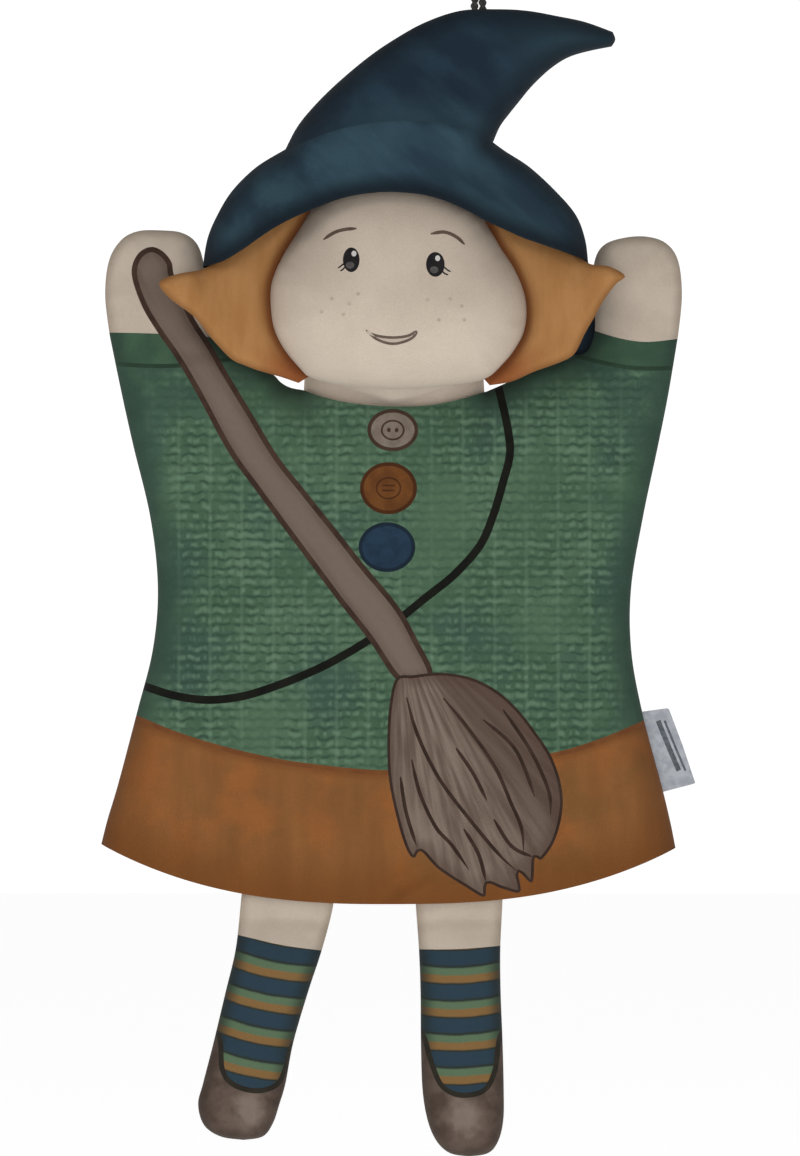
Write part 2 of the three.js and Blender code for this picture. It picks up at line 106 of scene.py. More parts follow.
def smooth(points, step, closed=False):
    """A Catmull-Rom curve through the points, with a point about every `step`."""
    pts = np.array(points, float)
    count = len(pts)
    index = np.arange(count if closed else count - 1)
    pick = (lambda i: pts[i % count]) if closed else (lambda i: pts[np.clip(i, 0, count - 1)])
    p0, p1, p2, p3 = (pick(index + k)[:, None, :] for k in (-1, 0, 1, 2))
    t = np.linspace(0, 1, SPLINE_STEPS, endpoint=False)[None, :, None]
    v0, v1 = (p2 - p0) / 2, (p3 - p1) / 2
    curve = ((2 * p1 - 2 * p2 + v0 + v1) * t ** 3 + (-3 * p1 + 3 * p2 - 2 * v0 - v1) * t ** 2
             + v0 * t + p1).reshape(-1, pts.shape[1])
    if not closed:
        curve = np.vstack([curve, pts[-1:]])
    return resample(curve, step, closed)


def join(*lines):
    """Lines laid end to end, without the points that repeat."""
    kept = [lines[0]]
    for line in lines[1:]:
        same = np.hypot(*(line[0] - kept[-1][-1])) < 1e-3
        kept.append(line[1:] if same else line)
    whole = np.vstack(kept)
    return whole[:-1] if np.hypot(*(whole[0] - whole[-1])) < 1e-3 else whole


def distance(lines, x, z):
    """(distance to the nearest of some lines, length along it there) for arrays x and z."""
    lines = [lines] if isinstance(lines, np.ndarray) else lines
    best, along = np.full(np.shape(x), 1e9), np.zeros(np.shape(x))
    passed = 0.0
    for line in lines:
        for (ax, az), (bx, bz) in zip(line[:-1], line[1:]):
            dx, dz = bx - ax, bz - az
            length = math.hypot(dx, dz)
            if length < 1e-9:
                continue
            t = clamp(((x - ax) * dx + (z - az) * dz) / length ** 2)
            d = np.hypot(x - ax - t * dx, z - az - t * dz)
            nearer = d < best
            best = np.where(nearer, d, best)
            along = np.where(nearer, passed + t * length, along)
            passed += length
    return best, along


def within(polygon, x, z):
    """True where (x, z) lies inside a closed polygon."""
    found = np.zeros(np.shape(x), bool)
    low, high = polygon.min(0), polygon.max(0)
    near = (x >= low[0]) & (x <= high[0]) & (z >= low[1]) & (z <= high[1])
    px, pz = x[near], z[near]
    odd = np.zeros(px.shape, bool)
    for (ax, az), (bx, bz) in zip(polygon, np.roll(polygon, -1, axis=0)):
        if az == bz:
            continue
        crosses = ((az > pz) != (bz > pz)) & (px < (bx - ax) * (pz - az) / (bz - az) + ax)
        odd ^= crosses
    found[near] = odd
    return found


def area_of(polygon):
    x, z = polygon.T
    return 0.5 * float(np.sum(x * np.roll(z, -1) - np.roll(x, -1) * z))


def normals_of(line, closed=True):
    if closed:
        along = np.roll(line, -1, axis=0) - np.roll(line, 1, axis=0)
    else:
        along = np.gradient(line, axis=0)
    along /= np.maximum(np.hypot(*along.T), 1e-9)[:, None]
    return np.stack([-along[:, 1], along[:, 0]], axis=1)


def shrink(polygon, by):
    """A closed outline moved inward."""
    turn = 1 if area_of(polygon) > 0 else -1
    return polygon + normals_of(polygon) * turn * by


def ribbon(points, width, step=0.9, taper=(1.0, 1.0)):
    """The outline of a drawn line of that width, with its ends at a share of it."""
    line = smooth(points, step)
    share = np.linspace(0, 1, len(line))
    ends = np.interp(share, [0, 0.15, 0.85, 1], [taper[0], 1, 1, taper[1]])
    side = normals_of(line, closed=False) * (width / 2 * ends)[:, None]
    return np.vstack([line + side, (line - side)[::-1]])


def oval(x, z, rx, rz, step=0.8):
    count = max(10, int(2 * math.pi * max(rx, rz) / step))
    turn = np.linspace(0, 2 * math.pi, count, endpoint=False)
    return np.stack([x + rx * np.cos(turn), z + rz * np.sin(turn)], axis=1)


def rumple(x, z, size, seed):
    """Smooth noise from -1 to 1 with features of about `size` millimetres."""
    return np.array([noise.noise((a / size, b / size, seed)) for a, b in zip(x, z)])


def puckers(dist, along, wave, reach, seed):
    """Short wrinkles square to a seam, which fade out `reach` away from it."""
    ripple = np.array([noise.noise((a / wave, d / (3 * reach), seed))
                       for a, d in zip(along, dist)])
    return ripple * np.exp(-(dist / reach) ** 2)


BANK, BANK_OUT, BANK_HALF = 0.45, 2.1, 1.1   # beside a crease: height, place and half width


def creases(x, z, *folds):
    """Grooves in the cloth with a low bank beside each: a fold is (points, half width, depth)."""
    sunk = np.zeros(np.shape(x))
    for points, half, depth in folds:
        line = smooth(points, 1.5)
        d, along = distance(line, x, z)
        length = float(np.hypot(*np.diff(line, axis=0).T).sum())
        fade = np.sqrt(clamp(np.sin(np.pi * clamp(along / length))) + 0.02)
        sunk += depth * fade * np.exp(-(d / half) ** 2)
        sunk -= BANK * depth * fade * np.exp(-((d - BANK_OUT * half) / (BANK_HALF * half)) ** 2)
    return sunk


# ---------------------------------------------------------------- triangulated regions
ROW_HEIGHT = 0.87             # of a row of even triangles, as a share of their side
RING_GAP, RING_BEND = 0.6, 0.85        # how near a ring's points may come to lines and the edge
EDGE_GAP, LINE_GAP = 0.35, 0.4         # the grid's room beside the last ring and lines, in steps
SLIVER = 1e-6


def ring_points(outline, rings, lines):
    """Points inside an outline, at each of some distances from it."""
    inward, closed = normals_of(outline), np.vstack([outline, outline[:1]])
    found, before = [], 0.0
    for ring in rings:
        moved = outline + inward * ring
        ok = within(outline, *moved.T) & (distance(closed, *moved.T)[0] > RING_BEND * ring)
        gap = RING_GAP * (ring - before)
        found += [tuple(p) for p in moved[ok] if lines.find((*p, 0))[2] > gap]
        before = ring
    return found


def grid_points(outline, rings, lines, step):
    """Points of an even triangular grid, over the rest of the region."""
    low, high = outline.min(0), outline.max(0)
    x, z = np.array([
        (x, z) for k, z in enumerate(np.arange(low[1], high[1], step * ROW_HEIGHT))
        for x in np.arange(low[0] + (k % 2) * step / 2, high[0], step)]).T
    ok = within(outline, x, z)
    x, z = x[ok], z[ok]
    ok = distance(np.vstack([outline, outline[:1]]), x, z)[0] > rings[-1] + EDGE_GAP * step
    return [(u, v) for u, v in zip(x[ok], z[ok]) if lines.find((u, v, 0))[2] > LINE_GAP * step]


class Flat:
    """A region of the XZ plane in triangles, with the drawn lines cut into it as edges."""

    def __init__(self, outline, sewn, step, cuts=(), rings=(0.3, 0.9, 1.8)):
        if area_of(outline) < 0:
            outline = outline[::-1]
        points, edges = [], []
        for line, closed in [(outline, True), *cuts]:
            first, count = len(points), len(line)
            points.extend(map(tuple, line))
            edges.extend((first + i, first + (i + 1) % count)
                         for i in range(count if closed else count - 1))
        lines = kdtree.KDTree(len(points))
        for i, (px, pz) in enumerate(points):
            lines.insert((px, pz, 0), i)
        lines.balance()
        extra = ring_points(outline, rings, lines) + grid_points(outline, rings, lines, step)
        made = delaunay_2d_cdt([Vector(p) for p in points + extra], edges, [], 0, 1e-4)
        self.points = np.array([tuple(v) for v in made[0]])
        tris = np.array([f for f in made[2] if len(f) == 3])
        centre = self.points[tris].mean(axis=1)
        tris = tris[within(outline, *centre.T)]
        a, b, c = (self.points[tris[:, k]] for k in range(3))
        ab, ac = b - a, c - a
        twice = ab[:, 0] * ac[:, 1] - ab[:, 1] * ac[:, 0]
        tris, twice = tris[np.abs(twice) > SLIVER], twice[np.abs(twice) > SLIVER]
        tris[twice < 0] = tris[twice < 0][:, ::-1]
        self.tris = tris
        self.x, self.z = self.points.T
        self.centre = self.points[tris].mean(axis=1)
        self.dist, self.along = distance(sewn, self.x, self.z)
        self.values = {"seam": self.dist}

    def paint(self, base, layers=()):
        """The material name of each triangle: the last layer that holds its centre wins."""
        names = np.full(len(self.tris), base, dtype=object)
        x, z = self.centre.T
        for material, area in layers:
            names[area(x, z) if callable(area) else within(area, x, z)] = material
        return names


def point_normals(flat, y, facing):
    """Smooth normals of the surface y over a whole region, so that its parts shade as one."""
    points = np.stack([flat.x, y, flat.z], axis=1)
    a, b, c = (points[flat.tris[:, k]] for k in range(3))
    face = np.cross(b - a, c - a) * facing
    total = np.zeros_like(points)
    for k in range(3):
        np.add.at(total, flat.tris[:, k], face)
    return total / np.maximum(np.linalg.norm(total, axis=1), 1e-12)[:, None]


def make_mesh(name, points, faces, loop_normals, materials, values, smooth_faces=None):
    """A Blender object from points in millimetres, with one material name for each face."""
    mesh = bpy.data.meshes.new(name)
    mesh.from_pydata([tuple(p) for p in points * MM], [], faces)
    slots = sorted(set(materials))
    for slot in slots:
        mesh.materials.append(MATERIALS[slot])
    lookup = {slot: i for i, slot in enumerate(slots)}
    mesh.polygons.foreach_set("material_index", [lookup[m] for m in materials])
    flags = [True] * len(faces) if smooth_faces is None else smooth_faces
    mesh.polygons.foreach_set("use_smooth", flags)
    rest = mesh.attributes.new("rest", "FLOAT_VECTOR", "POINT")
    rest.data.foreach_set("vector", np.asarray(points, np.float32).ravel())
    for key, data in values.items():
        layer = mesh.attributes.new(key, "FLOAT", "POINT")
        layer.data.foreach_set("value", np.asarray(data, np.float32))
    if loop_normals is not None:
        mesh.normals_split_custom_set([tuple(n) for n in loop_normals])
    mesh.update()
    obj = bpy.data.objects.new(name, mesh)
    bpy.context.scene.collection.objects.link(obj)
    return obj


def solid(name, flat, front, back, paint, paint_back=None, rim="thread", keep=None):
    """A closed piece over part of a region, between the surfaces y = front and y = back."""
    keep = np.ones(len(flat.tris), bool) if keep is None else keep
    tris = flat.tris[keep]
    paint_back = paint if paint_back is None else paint_back
    used, flat_index = np.unique(tris, return_inverse=True)
    local = flat_index.reshape(tris.shape)
    count = len(used)
    nf, nb = point_normals(flat, front, 1)[used], point_normals(flat, back, -1)[used]
    points = np.concatenate([
        np.stack([flat.x[used], front[used], flat.z[used]], axis=1),
        np.stack([flat.x[used], back[used], flat.z[used]], axis=1),
    ])
    edges = np.concatenate([local[:, [0, 1]], local[:, [1, 2]], local[:, [2, 0]]])
    key = np.sort(edges, axis=1)
    _, first, uses = np.unique(key, axis=0, return_index=True, return_counts=True)
    border = edges[first[uses == 1]]
    faces = [tuple(t) for t in local.tolist()]
    faces += [tuple(t) for t in (local[:, ::-1] + count).tolist()]
    faces += [(b, a, a + count, b + count) for a, b in border.tolist()]
    normals = np.concatenate([
        nf[local].reshape(-1, 3), nb[local[:, ::-1]].reshape(-1, 3),
        np.zeros((4 * len(border), 3)),
    ])
    materials = [*paint[keep], *paint_back[keep], *([rim] * len(border))]
    smooth_faces = [True] * (2 * len(tris)) + [False] * len(border)
    values = {key: np.tile(data[used], 2) for key, data in flat.values.items()}
    return make_mesh(name, points, faces, normals, materials, values, smooth_faces)


# ---------------------------------------------------------------- cloth materials
MATERIALS = {}
DRIFT = (0.35, 0.65)          # noise levels between which one shade turns into the next
THREAD_HEIGHT = 0.12
KNIT_ROW, KNIT_COLUMN = 2.45, 8.2      # the printed knit's spacings
SOCK_REPEAT = 8.7             # millimetres from one blue band of a sock to the next


def linear(colour):
    """An sRGB colour of 0..255 as Blender's linear RGBA."""
    c = np.array(colour, float) / 255
    c = np.where(c <= 0.04045, c / 12.92, ((c + 0.055) / 1.055) ** 2.4)
    return (*[float(v) for v in c], 1.0)


class Wire:
    """A value in a cloth's node tree, which adds and multiplies like a number."""

    def __init__(self, cloth, socket):
        self.cloth, self.socket = cloth, socket

    def math(self, operation, *others):
        made = self.cloth.node("ShaderNodeMath", self, *others, operation=operation)
        return Wire(self.cloth, made.outputs[0])

    def __add__(self, other):
        return self.math("ADD", other)

    def __sub__(self, other):
        return self.math("SUBTRACT", other)

    def __mul__(self, other):
        return self.math("MULTIPLY", other)

    def __truediv__(self, other):
        return self.math("DIVIDE", other)

    def span(self, low, high, to_low=0.0, to_high=1.0):
        """low..high taken smoothly to to_low..to_high, and held beyond them."""
        made = self.cloth.node("ShaderNodeMapRange", self, low, high, to_low, to_high,
                               interpolation_type="SMOOTHSTEP")
        return Wire(self.cloth, made.outputs[0])


class Cloth:
    """A woven cotton material. Its pattern follows the cloth's rest shape, in millimetres."""

    def __init__(self, name, colour, roughness=0.92, sheen=0.04, weave=0.62):
        material = bpy.data.materials.new(name)
        material.use_nodes = True
        self.tree = material.node_tree
        self.shader = self.tree.nodes["Principled BSDF"]
        for socket, value in (("Roughness", roughness), ("Sheen Weight", sheen),
                              ("Sheen Roughness", 0.45), ("Specular IOR Level", 0.12)):
            self.put(self.shader.inputs[socket], value)
        self.rest = self.node("ShaderNodeAttribute", attribute_name="rest").outputs["Vector"]
        split = self.node("ShaderNodeSeparateXYZ", self.rest).outputs
        self.x, self.z = Wire(self, split["X"]), Wire(self, split["Z"])
        self.colour, self.weave = colour, weave
        MATERIALS[name] = material

    def node(self, kind, *inputs, **settings):
        """A node with its first inputs, then its settings and its other inputs by name."""
        made = self.tree.nodes.new(kind)
        for key, value in settings.items():
            if key in made.inputs:
                self.put(made.inputs[key], value)
            else:
                setattr(made, key, value)
        for socket, value in zip(made.inputs, inputs):
            self.put(socket, value)
        return made

    def put(self, socket, value):
        value = getattr(value, "socket", value)
        if isinstance(value, bpy.types.NodeSocket):
            self.tree.links.new(value, socket)
        else:
            socket.default_value = value

    def value(self, name):
        """One of the numbers that each point of the mesh carries."""
        return Wire(self, self.node("ShaderNodeAttribute", attribute_name=name).outputs["Fac"])

    def noise(self, place, **settings):
        made = self.node("ShaderNodeTexNoise", place, **{"Scale": 1, **settings})
        return Wire(self, made.outputs["Fac"])

    def mottle(self, size, detail=3.0, stretch=(1, 1, 1), shift=0.0):
        """Noise from 0 to 1 with features of about `size` millimetres."""
        place = self.node("ShaderNodeMapping", self.rest, (shift,) * 3, (0, 0, 0), stretch)
        return self.noise(place.outputs[0], Scale=1 / size, Detail=detail, Roughness=0.55)

    def strokes(self, lean, stretch, **settings):
        """Noise drawn out into brush strokes that lean by so many degrees."""
        turned = self.node("ShaderNodeVectorRotate", self.rest, (0, 0, 0), (0, 1, 0),
                           math.radians(lean), rotation_type="AXIS_ANGLE").outputs[0]
        place = self.node("ShaderNodeMapping", turned, (0, 0, 0), (0, 0, 0), stretch)
        return self.noise(place.outputs[0], **settings)

    def lay(self, share, colour):
        """Lays a share of a colour over the colour so far."""
        made = self.node("ShaderNodeMix", data_type="RGBA", blend_type="MIX")
        under = linear(self.colour) if isinstance(self.colour, tuple) else self.colour
        for index, value in ((0, share), (6, under), (7, linear(colour))):
            self.put(made.inputs[index], value)
        self.colour = made.outputs[2]

    def rim(self, name, near, far, share, colour):
        """Lays a share of a colour where a point's number is near, fading out to far."""
        self.lay(self.value(name).span(near, far, share, 0.0), colour)

    def finish(self):
        """Adds the threads: a plain weave in the height and a faint heather in the colour."""
        turn = 2 * math.pi / self.weave
        threads = (self.x * turn).math("SINE") * (self.z * turn).math("SINE")
        fluff = self.mottle(0.5, 2.0, shift=7.0)
        lift = self.node("ShaderNodeBump", Strength=0.3, Distance=THREAD_HEIGHT * MM,
                         Height=threads * 0.25 + fluff)
        heather = fluff * 0.22 + threads * 0.035
        scaled = self.node("ShaderNodeVectorMath", self.colour, operation="SCALE",
                           Scale=heather + 0.89)
        self.put(self.shader.inputs["Normal"], lift.outputs[0])
        self.put(self.shader.inputs["Base Color"], scaled.outputs[0])


def printed(name, colour, shade, size=9.0, edge=None, edge_reach=7.0, **settings):
    """A printed cloth that drifts between two shades, darker towards its seams."""
    cloth = Cloth(name, colour, **settings)
    cloth.lay(cloth.mottle(size).span(*DRIFT), shade)
    if edge is not None:
        from_seam = cloth.value("seam") - cloth.mottle(12.0, shift=3.0) * edge_reach
        cloth.lay(from_seam.span(-0.5 * edge_reach, edge_reach, 0.85, 0.0), edge)
    cloth.finish()


def knit_print():
    """Green cloth with a printed knit: rows of short uneven dashes, in watercolour patches, with
    painted shade over the shoulders.
    """
    cloth = Cloth("knit_green", (64, 90, 69))
    seam = cloth.value("seam")
    cloth.lay(cloth.mottle(18).span(*DRIFT), (74, 100, 78))
    cloth.lay(cloth.mottle(30, 4.0, shift=40.0).span(0.48, 0.7, 0.0, 0.75), (52, 75, 68))
    wave = (cloth.x * 1.7).math("SINE") * 0.07
    drift = cloth.mottle(4.5, 3.0, shift=11.0) * 0.9
    row = cloth.z / KNIT_ROW + (wave + drift)
    place = cloth.node("ShaderNodeCombineXYZ", cloth.x / 1.7, row.math("FLOOR") * 3.7, 0.0)
    dash = cloth.noise(place.outputs[0], Detail=1).span(0.4, 0.62)
    from_middle = (row.math("FRACT") - 0.5).math("ABSOLUTE")
    broken = cloth.mottle(2.2, 1.0, shift=21.0).span(0.36, 0.56, 0.25, 1.0)
    patches = cloth.mottle(24, 2.0, shift=5.0).span(0.36, 0.58, 0.3, 1.0)
    fade = seam.span(1.5, 9) * patches
    column = (cloth.x * (2 * math.pi / KNIT_COLUMN)).math("SINE").span(0.88, 1.0)
    cloth.lay(from_middle.span(0.27, 0.45) * broken * fade * 0.85, (49, 71, 57))
    cloth.lay(from_middle.span(0.05, 0.36, 1.0, 0.0) * dash * fade * 0.62, (99, 126, 103))
    cloth.lay(column * (fade * 0.25), (102, 128, 105))
    # painted shade: a darker green wash over the shoulders and the tops of the sleeves, where the
    # cloth folds
    up_and_out = cloth.x.math("ABSOLUTE") * 0.6 + cloth.z * 0.8
    shoulder_shade = up_and_out.span(122, 142) * cloth.mottle(12, 3.0, shift=60.0).span(0.38, 0.6)
    cloth.lay(shoulder_shade * 0.6, (46, 68, 60))
    cloth.lay((seam + cloth.mottle(10, shift=2.0) * 6).span(2.5, 12, 0.8, 0.0), (46, 66, 56))
    cloth.finish()


def skirt_print():
    """Brown cloth with soft upright streaks and blots, redder and darker towards the hem."""
    cloth = Cloth("skirt_brown", (121, 79, 43))
    cloth.lay(cloth.mottle(6, 3.0, stretch=(1, 1, 0.16)).span(0.3, 0.7), (132, 87, 48))
    cloth.lay(cloth.mottle(15, 4.0, shift=30.0).span(0.45, 0.68, 0.0, 0.6), (146, 88, 44))
    cloth.lay(cloth.mottle(18, 3.0, shift=50.0).span(0.48, 0.7, 0.0, 0.55), (108, 76, 42))
    cloth.rim("hem", 0, 16, 0.75, (108, 64, 28))
    cloth.rim("waist", 0, 3, 0.55, (98, 56, 28))
    cloth.rim("seam", 0, 9, 0.5, (92, 56, 28))
    cloth.finish()


def handle_print():
    """Faint brush strokes along the drawn broom's handle, lighter down its middle."""
    cloth = Cloth("handle", (94, 80, 71))
    cloth.lay(cloth.strokes(35, (0.4, 0.4, 0.04)).span(0.3, 0.7), (103, 90, 80))
    cloth.lay(cloth.value("ink").span(1.2, 4.2) * 0.8, (113, 99, 89))
    cloth.finish()


def bristle_print(apex_x, apex_z):
    """Brush strokes that fan out below a point, darker towards the broom's outer side."""
    cloth = Cloth("bristle", (92, 77, 68))
    below = (cloth.z - apex_z) * -1
    angle = (cloth.x - apex_x).math("ARCTAN2", below)
    place = cloth.node("ShaderNodeCombineXYZ", angle * 22, 0.0, below * 0.05)
    cloth.lay(cloth.noise(place.outputs[0], Detail=3).span(0.32, 0.68), (124, 109, 98))
    cloth.lay(angle.span(0.4, 0.75, 0.0, 0.75), (78, 62, 54))
    cloth.rim("ink", 0.8, 4.5, 0.55, (78, 61, 52))
    cloth.finish()


def striped_sock():
    """Blue, green and orange bands round the leg, from the top of the sock down."""
    green, orange, dark, blue = (86, 107, 82), (124, 95, 58), (44, 50, 46), (42, 60, 72)
    cloth = Cloth("sock", blue)
    wobble = (cloth.mottle(5, 2.0) - 0.5) * 0.5
    place = (cloth.value("down") + wobble).math("MODULO", SOCK_REPEAT)
    for start, colour in ((3.6, dark), (4.3, green), (6.2, orange), (8.2, dark)):
        cloth.lay(place.span(start - 0.3, start + 0.3), colour)
    cloth.rim("seam", 0, 4.5, 0.75, (34, 40, 37))
    cloth.finish()


def hair_print():
    """Ochre cloth, with a red-brown line next to the face and at the rim."""
    cloth = Cloth("hair_ochre", (154, 109, 64))
    cloth.lay(cloth.mottle(5, 3.0, stretch=(1, 1, 0.22)).span(*DRIFT), (163, 118, 73))
    cloth.rim("seam", 0, 2, 0.6, (118, 78, 42))
    low_and_near = cloth.z.span(137, 147, 0.85, 0.0) * cloth.value("face").span(2, 10, 1.0, 0.0)
    cloth.lay(low_and_near, (128, 70, 36))
    cloth.rim("face", 0.2, 2.4, 0.85, (112, 62, 32))
    cloth.finish()


def hat_print(name, light, dark, edge, high=None):
    """Dark blue cloth with slanting brush strokes, with painted shade along its lower edge where it
    curls under, darker at the seams, and with `high` a painted highlight.
    """
    cloth = Cloth(name, light)
    cloth.lay(cloth.strokes(50, (0.11, 0.11, 0.035), Detail=4).span(0.36, 0.64), dark)
    if high is not None:
        # painted highlight: lighter towards the crown's tip and just above the brim's fold
        cloth.lay(cloth.x.span(22, 55), high)
        cloth.lay(cloth.value("fold").span(0, 9, 0.8, 0.0) * cloth.x.span(-18, 4), high)
    # painted shade along the lower edge (the lip), where the cloth curls under
    cloth.rim("lip", 0.5, 6, 0.9, edge)
    cloth.rim("seam", 0, 8, 0.75, edge)
    cloth.finish()


def face_print_and_painted_light():
    """Skin with painted light: a little lighter on the chin and the neck, as if lit from below."""
    cloth = Cloth("face_skin", (186, 172, 157))
    cloth.lay(cloth.mottle(16).span(*DRIFT), (179, 165, 150))
    # painted light: lighter towards the chin and the neck, standing in for light from below
    cloth.lay(cloth.z.span(131, 166, 0.45, 0.0), (212, 199, 183))
    cloth.finish()


def shoe_print():
    """Brown shoe cloth with a soft worn patch on the toe."""
    cloth = Cloth("shoe", (76, 63, 55))
    cloth.lay(cloth.mottle(5, 4.0).span(*DRIFT), (97, 83, 74))
    worn = cloth.value("toe") + cloth.mottle(4, 3.0, shift=9.0)
    cloth.lay(worn.span(0.75, 1.6, 0.6, 0.0), (138, 124, 113))
    cloth.rim("seam", 0, 5, 0.6, (62, 50, 43))
    cloth.finish()


knit_print()
skirt_print()
striped_sock()
hair_print()
handle_print()
bristle_print(2, 72)
face_print_and_painted_light()
shoe_print()
# each hat: light and dark shades, then the colour of its painted shade at the lip and of its darker
# seams; the crown's last colour is its painted highlight
hat_print("hat_crown", (35, 54, 67), (27, 42, 54), (14, 21, 28), (42, 62, 72))
hat_print("hat_brim", (47, 70, 81), (35, 53, 65), (15, 22, 29))
printed("plain_green", (62, 87, 67), (52, 75, 60), 10, edge=(42, 60, 50), edge_reach=4)
printed("skin", (186, 173, 158), (177, 164, 149), 18, edge=(158, 144, 129), edge_reach=2)
printed("lining", (214, 208, 196), (206, 199, 187), 15, weave=0.5)
printed("label", (170, 174, 180), (150, 154, 161), 2.5, roughness=0.5, sheen=0.0, weave=0.3)
printed("label_ink", (96, 101, 107), (74, 79, 85), 0.9, roughness=0.5, weave=0.3)
printed("cord", (66, 65, 63), (50, 50, 49), 1.2, weave=0.4)
for print_name, light_shade, dark_shade, patch_size in (
        ("sleeve_line", (42, 62, 47), (38, 56, 43), 8),
        ("skirt_line", (104, 62, 34), (112, 70, 38), 5),
        ("broom_ink", (66, 50, 41), (54, 40, 33), 5),
        ("bristle_ink", (58, 44, 37), (48, 35, 29), 5),
        ("strap", (23, 24, 19), (16, 17, 13), 6),
        ("button_grey", (122, 111, 100), (108, 97, 87), 4),
        ("button_rust", (104, 64, 31), (90, 54, 26), 4),
        ("button_navy", (34, 54, 72), (28, 45, 61), 4),
        ("button_ink", (66, 50, 41), (58, 43, 34), 4),
        ("button_rust_ink", (70, 40, 20), (64, 36, 18), 4),
        ("button_navy_ink", (24, 38, 50), (22, 34, 45), 4),
        ("eye_dark", (34, 31, 32), (28, 26, 27), 3),
        ("eye_grey", (82, 78, 78), (72, 68, 68), 2),
        ("eye_white", (196, 192, 188), (184, 180, 176), 3),
        ("brow", (92, 78, 67), (84, 70, 60), 3),
        ("mouth_ink", (100, 86, 77), (90, 77, 68), 3),
        ("mouth", (170, 156, 142), (176, 163, 149), 3),
        ("freckle", (172, 158, 143), (167, 153, 138), 3),
        ("shoe_ink", (46, 42, 35), (40, 36, 30), 4),
        ("thread", (66, 56, 46), (56, 48, 40), 3),
        ("skin_thread", (140, 126, 112), (132, 118, 104), 3),
        ("hat_thread", (16, 23, 29), (14, 20, 26), 3)):
    printed(print_name, light_shade, dark_shade, patch_size)


# ---------------------------------------------------------------- helpers for placing pieces
def ride(piece, body, slot, *nodes):
    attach(piece, body)
    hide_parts(*nodes)
    return piece


def bend(piece, bodies, start, end, slot, *nodes):
    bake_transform(piece)
    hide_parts(*nodes)
    return piece


# ---------------------------------------------------------------- the glove's outline
SIDE = {
    "right": [(-75.6, 15.3), (-73.9, 22), (-71.2, 31), (-66.2, 50), (-62.2, 66), (-60.9, 82),
              (-62.8, 100), (-67.3, 119), (-70.2, 132), (-73.4, 147.5)],
    "left": [(73.7, 14.4), (72.4, 21), (70, 31), (65, 50), (62.2, 66), (62.2, 82), (65.2, 100),
             (69.2, 119), (71.8, 132), (74.4, 147.5)],
}
HAND = {
    "right": [(-73.4, 147.5), (-74.6, 158), (-73.6, 167), (-70.4, 172.4), (-66, 174.7),
              (-60, 174.9), (-54.7, 174.3), (-51, 171.8), (-49.1, 167), (-47.8, 158),
              (-47.3, 147.5)],
    "left": [(74.4, 147.5), (75.4, 158), (74.4, 167), (71.2, 171.6), (66, 173.3), (60, 172.9),
             (55, 171), (52.6, 166.6), (52.1, 158), (52.4, 148.6)],
}
SHOULDER = {
    "right": [(-47.3, 147.5), (-42, 144), (-37, 140.9), (-33, 139), (-30.6, 137.2), (-28.8, 135.3),
              (-26.4, 134), (-23.3, 133.4)],
    "left": [(52.4, 148.6), (49.9, 144.6), (46.6, 142.4), (43, 141.1), (37, 138.9), (30.5, 135.6),
             (24.6, 133)],
}
NECKLINE = [(-23.3, 133.4), (-17, 131.2), (-9, 129.7), (0.8, 129), (10, 129.4), (18, 131),
            (24.6, 133)]
STEP = 1.35


def hem_height(x):
    return HEM_RISE * np.abs(x / HEM_HALF) ** 2.6


edge_of = {
    side: join(smooth(SIDE[side], 1.1), smooth(HAND[side], 1.0), smooth(SHOULDER[side], 1.0))
    for side in ("right", "left")
}
hem_x = np.linspace(SIDE["left"][0][0], SIDE["right"][0][0], 138)
hem_line = np.stack([hem_x, hem_height(hem_x)], axis=1)
neck_line = smooth(NECKLINE, 1.0)
BODY_OUTLINE = join(edge_of["right"], neck_line, edge_of["left"][::-1], hem_line)

# ---------------------------------------------------------------- what is drawn on the cloth
HANDLE = [(-67.6, 163.4), (-65, 155.3), (-61, 148.5), (-56.2, 141.6), (-51, 132.9), (-42.6, 117.4),
          (-35.6, 107.6), (-29.2, 98.9), (-22, 89.3), (-13.8, 78.3), (-6, 68.4), (0.9, 58.4),
          (5.5, 57.4), (10.6, 59.6), (6.6, 68.5), (1.5, 77.4), (-7.3, 88), (-13.8, 96.3),
          (-22.4, 107), (-29.7, 116.3), (-36.2, 127), (-42.4, 137.2), (-46.9, 145), (-51.6, 152.4),
          (-56.4, 162.6), (-57.2, 166.4), (-59.6, 169.4), (-62.8, 170.5), (-66.2, 168.4)]
BRISTLE = [(1.2, 58.6), (-0.6, 52), (-1.2, 42.7), (-0.8, 32.4), (1.3, 22.1), (3.7, 14.4),
           (5.7, 11.9), (7.5, 13.7), (12, 9.1), (19.2, 4.4), (23.9, 1.9), (24.7, 5.3), (28.7, 4),
           (33.2, 3.2), (32.8, 8.3), (36.3, 5.6), (37, 12), (38.8, 11.6), (42.3, 16.8),
           (44.2, 24.7), (43.7, 31.4), (41.3, 38.3), (37.2, 44.6), (32.4, 50.7), (27.2, 55.3),
           (21, 58.5), (14.9, 59.8), (10.4, 59.9), (5.6, 59.3)]
